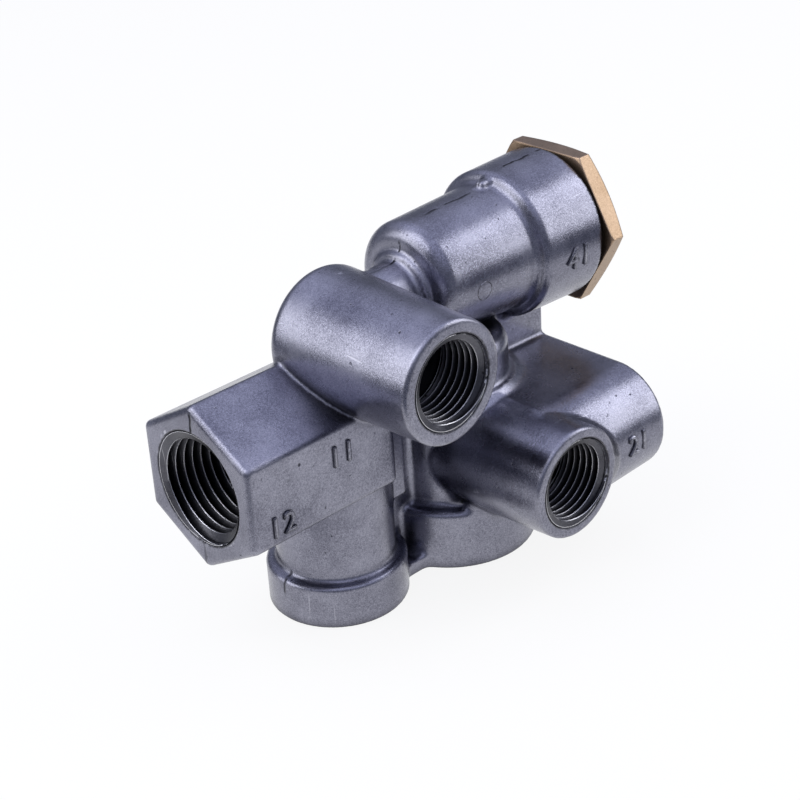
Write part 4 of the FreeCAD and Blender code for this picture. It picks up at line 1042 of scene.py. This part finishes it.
def number_mark(name, digits, height, left, low, lay):
    """Raised digits whose lower left corner is at a place of the surface."""
    curve = bpy.data.curves.new(name, "FONT")
    curve.body = digits
    curve.size = height / DIGIT_HEIGHT
    curve.extrude = (MARK_RISE + MARK_SUNK) / 2
    curve.bevel_depth = DIGIT_BEVEL
    curve.bevel_resolution = 1
    curve.space_character = DIGIT_SPACING
    curve.resolution_u = 8
    text = linked(name, curve)
    mesh = shown_mesh(text)
    bpy.data.objects.remove(text)
    thing = linked(name, mesh)
    work = bmesh.new()
    work.from_mesh(mesh)
    bmesh.ops.remove_doubles(work, verts=work.verts, dist=1e-4)
    start = min(v.co.x for v in work.verts)
    for vertex in work.verts:
        vertex.co.x += left - start
        vertex.co.y += low
        vertex.co.z += (MARK_RISE - MARK_SUNK) / 2
    work.to_mesh(mesh)
    work.free()
    return lay_on(thing, lay)


def ring_mark(name, across, upward, radius, lay):
    """The faint raised ring that an ejector pin leaves."""
    vertices, faces = [], []
    for k in range(RING_STEPS):
        angle, n = 2 * math.pi * k / RING_STEPS, (k + 1) % RING_STEPS
        for j, (out, rise) in enumerate(RING_SECTION):
            reach, i = radius + out, (j + 1) % 4
            vertices.append((across + reach * math.cos(angle), upward + reach * math.sin(angle), rise))
            faces.append((4 * k + j, 4 * n + j, 4 * n + i, 4 * k + i))
    return lay_on(make_object(name, vertices, faces, 1.0), lay)


marks = [
    number_mark("reservoir_mark", "12", 3.9, 4.6, -6.4, on_flat),
    number_mark("supply_mark", "11", 3.9, 18.8, 1.0, on_flat),
    number_mark("control_mark", "41", 4.2, 78.4, 16.6, on_control),
    number_mark("delivery_mark", "21", 3.8, 74.8, -14.6, on_end_boss),
    ring_mark("ejector_mark", 59.1, 18.9, 1.75, on_small_control),
]
print("marks:", [m.name for m in marks])

# %% [markdown]
# ## Floor, world and lamps
#
# Metal shows what stands round it, so the light can be read off it: each spot of the
# picture mirrors one direction, and its brightness tells what was there. The casting stood
# on a white sheet in a dim room, between two tall soft boxes. One leans over from behind
# the camera's left shoulder, and one stands on the right. The sheet keeps the shadow.

# %% Studio
# The sheet's near and far side: how far ahead of the object, and half its width.
SHEET_NEAR, SHEET_FAR = (-0.10, 0.15), (0.60, 0.27)
SHEET_GLOW = 0.88
ROOM_SIDES = (0.235, 0.25, 0.315)
ROOM_ABOVE = (0.92, 0.96, 1.22)
MIDDLE = (Vector(cad_box[0]) + Vector(cad_box[1])) / 2


def heading(turn, lift):
    """A direction: degrees to the right of the camera's view, and degrees above the horizon."""
    turn, lift = math.radians(CAMERA_TURN + turn), math.radians(lift)
    return Vector((math.sin(turn) * math.cos(lift), math.cos(turn) * math.cos(lift), math.sin(lift)))


def white_sheet():
    """The pale sheet under the object; the camera and reflections see it nearly white."""
    ahead, across = heading(0, 0), heading(90, 0)
    corners = []
    for (reach, half), side in zip((SHEET_NEAR, SHEET_NEAR, SHEET_FAR, SHEET_FAR), (-1, 1, 1, -1)):
        corner = (MIDDLE + ahead * reach + across * half * side) / MM
        corners.append((corner.x, corner.y, BASE_Z - 0.02))
    sheet = make_object("sheet", corners, [(0, 1, 2, 3)])
    material, tree, shader = new_material("pale_sheet")
    feed(tree, shader, {"Base Color": (0.92, 0.92, 0.92, 1), "Roughness": 0.9, "Specular IOR Level": 0.0})
    paths = add(tree, "ShaderNodeLightPath").outputs
    seen = calc(tree, "MAXIMUM", paths["Is Camera Ray"],
                calc(tree, "MAXIMUM", paths["Is Glossy Ray"], paths["Is Transmission Ray"]))
    glow = add(tree, "ShaderNodeEmission", {"Color": (1, 1, 1, 1), "Strength": 1.0})
    mix = add(tree, "ShaderNodeMixShader", {
        0: times(tree, seen, SHEET_GLOW), 1: shader.outputs[0], 2: glow.outputs[0]})
    feed(tree, tree.nodes["Material Output"], {"Surface": mix.outputs[0]})
    sheet.data.materials.append(material)
    return sheet


def dim_room():
    """A dim, slightly blue room that is paler overhead."""
    world = bpy.data.worlds.new("room")
    bpy.context.scene.world = world
    world.use_nodes = True
    tree = world.node_tree
    way = add(tree, "ShaderNodeSeparateXYZ", {0: add(tree, "ShaderNodeTexCoord").outputs["Generated"]})
    colour = mixed(tree, ranged(tree, way.outputs["Z"], 0.35, 0.85), ROOM_SIDES, ROOM_ABOVE)
    feed(tree, tree.nodes["Background"], {"Color": colour})


def soft_box(name, low, high, width, distance, brightness):
    """A tall lamp whose lower and upper ends lie in two headings, seen from the object."""
    middle = (low + high).normalized()
    half = distance * math.tan(low.angle(high) / 2)
    long_way = (high - low - middle * (high - low).dot(middle)).normalized()
    data = bpy.data.lights.new(name, "AREA")
    data.shape = "RECTANGLE"
    data.size, data.size_y = width, 2 * half
    data.energy = brightness * math.pi * width * 2 * half
    axes = Matrix((long_way.cross(middle), long_way, middle)).transposed()
    linked(name, data).matrix_world = Matrix.Translation(MIDDLE + middle * distance) @ axes.to_4x4()


white_sheet()
dim_room()
soft_box("left_box", heading(-94, 2), heading(-138, 66), 0.34, 0.5, 2.25)
soft_box("right_box", heading(92, 4), heading(64, 47), 0.25, 0.5, 2.65)
bpy.context.scene.view_settings.view_transform = "Standard"
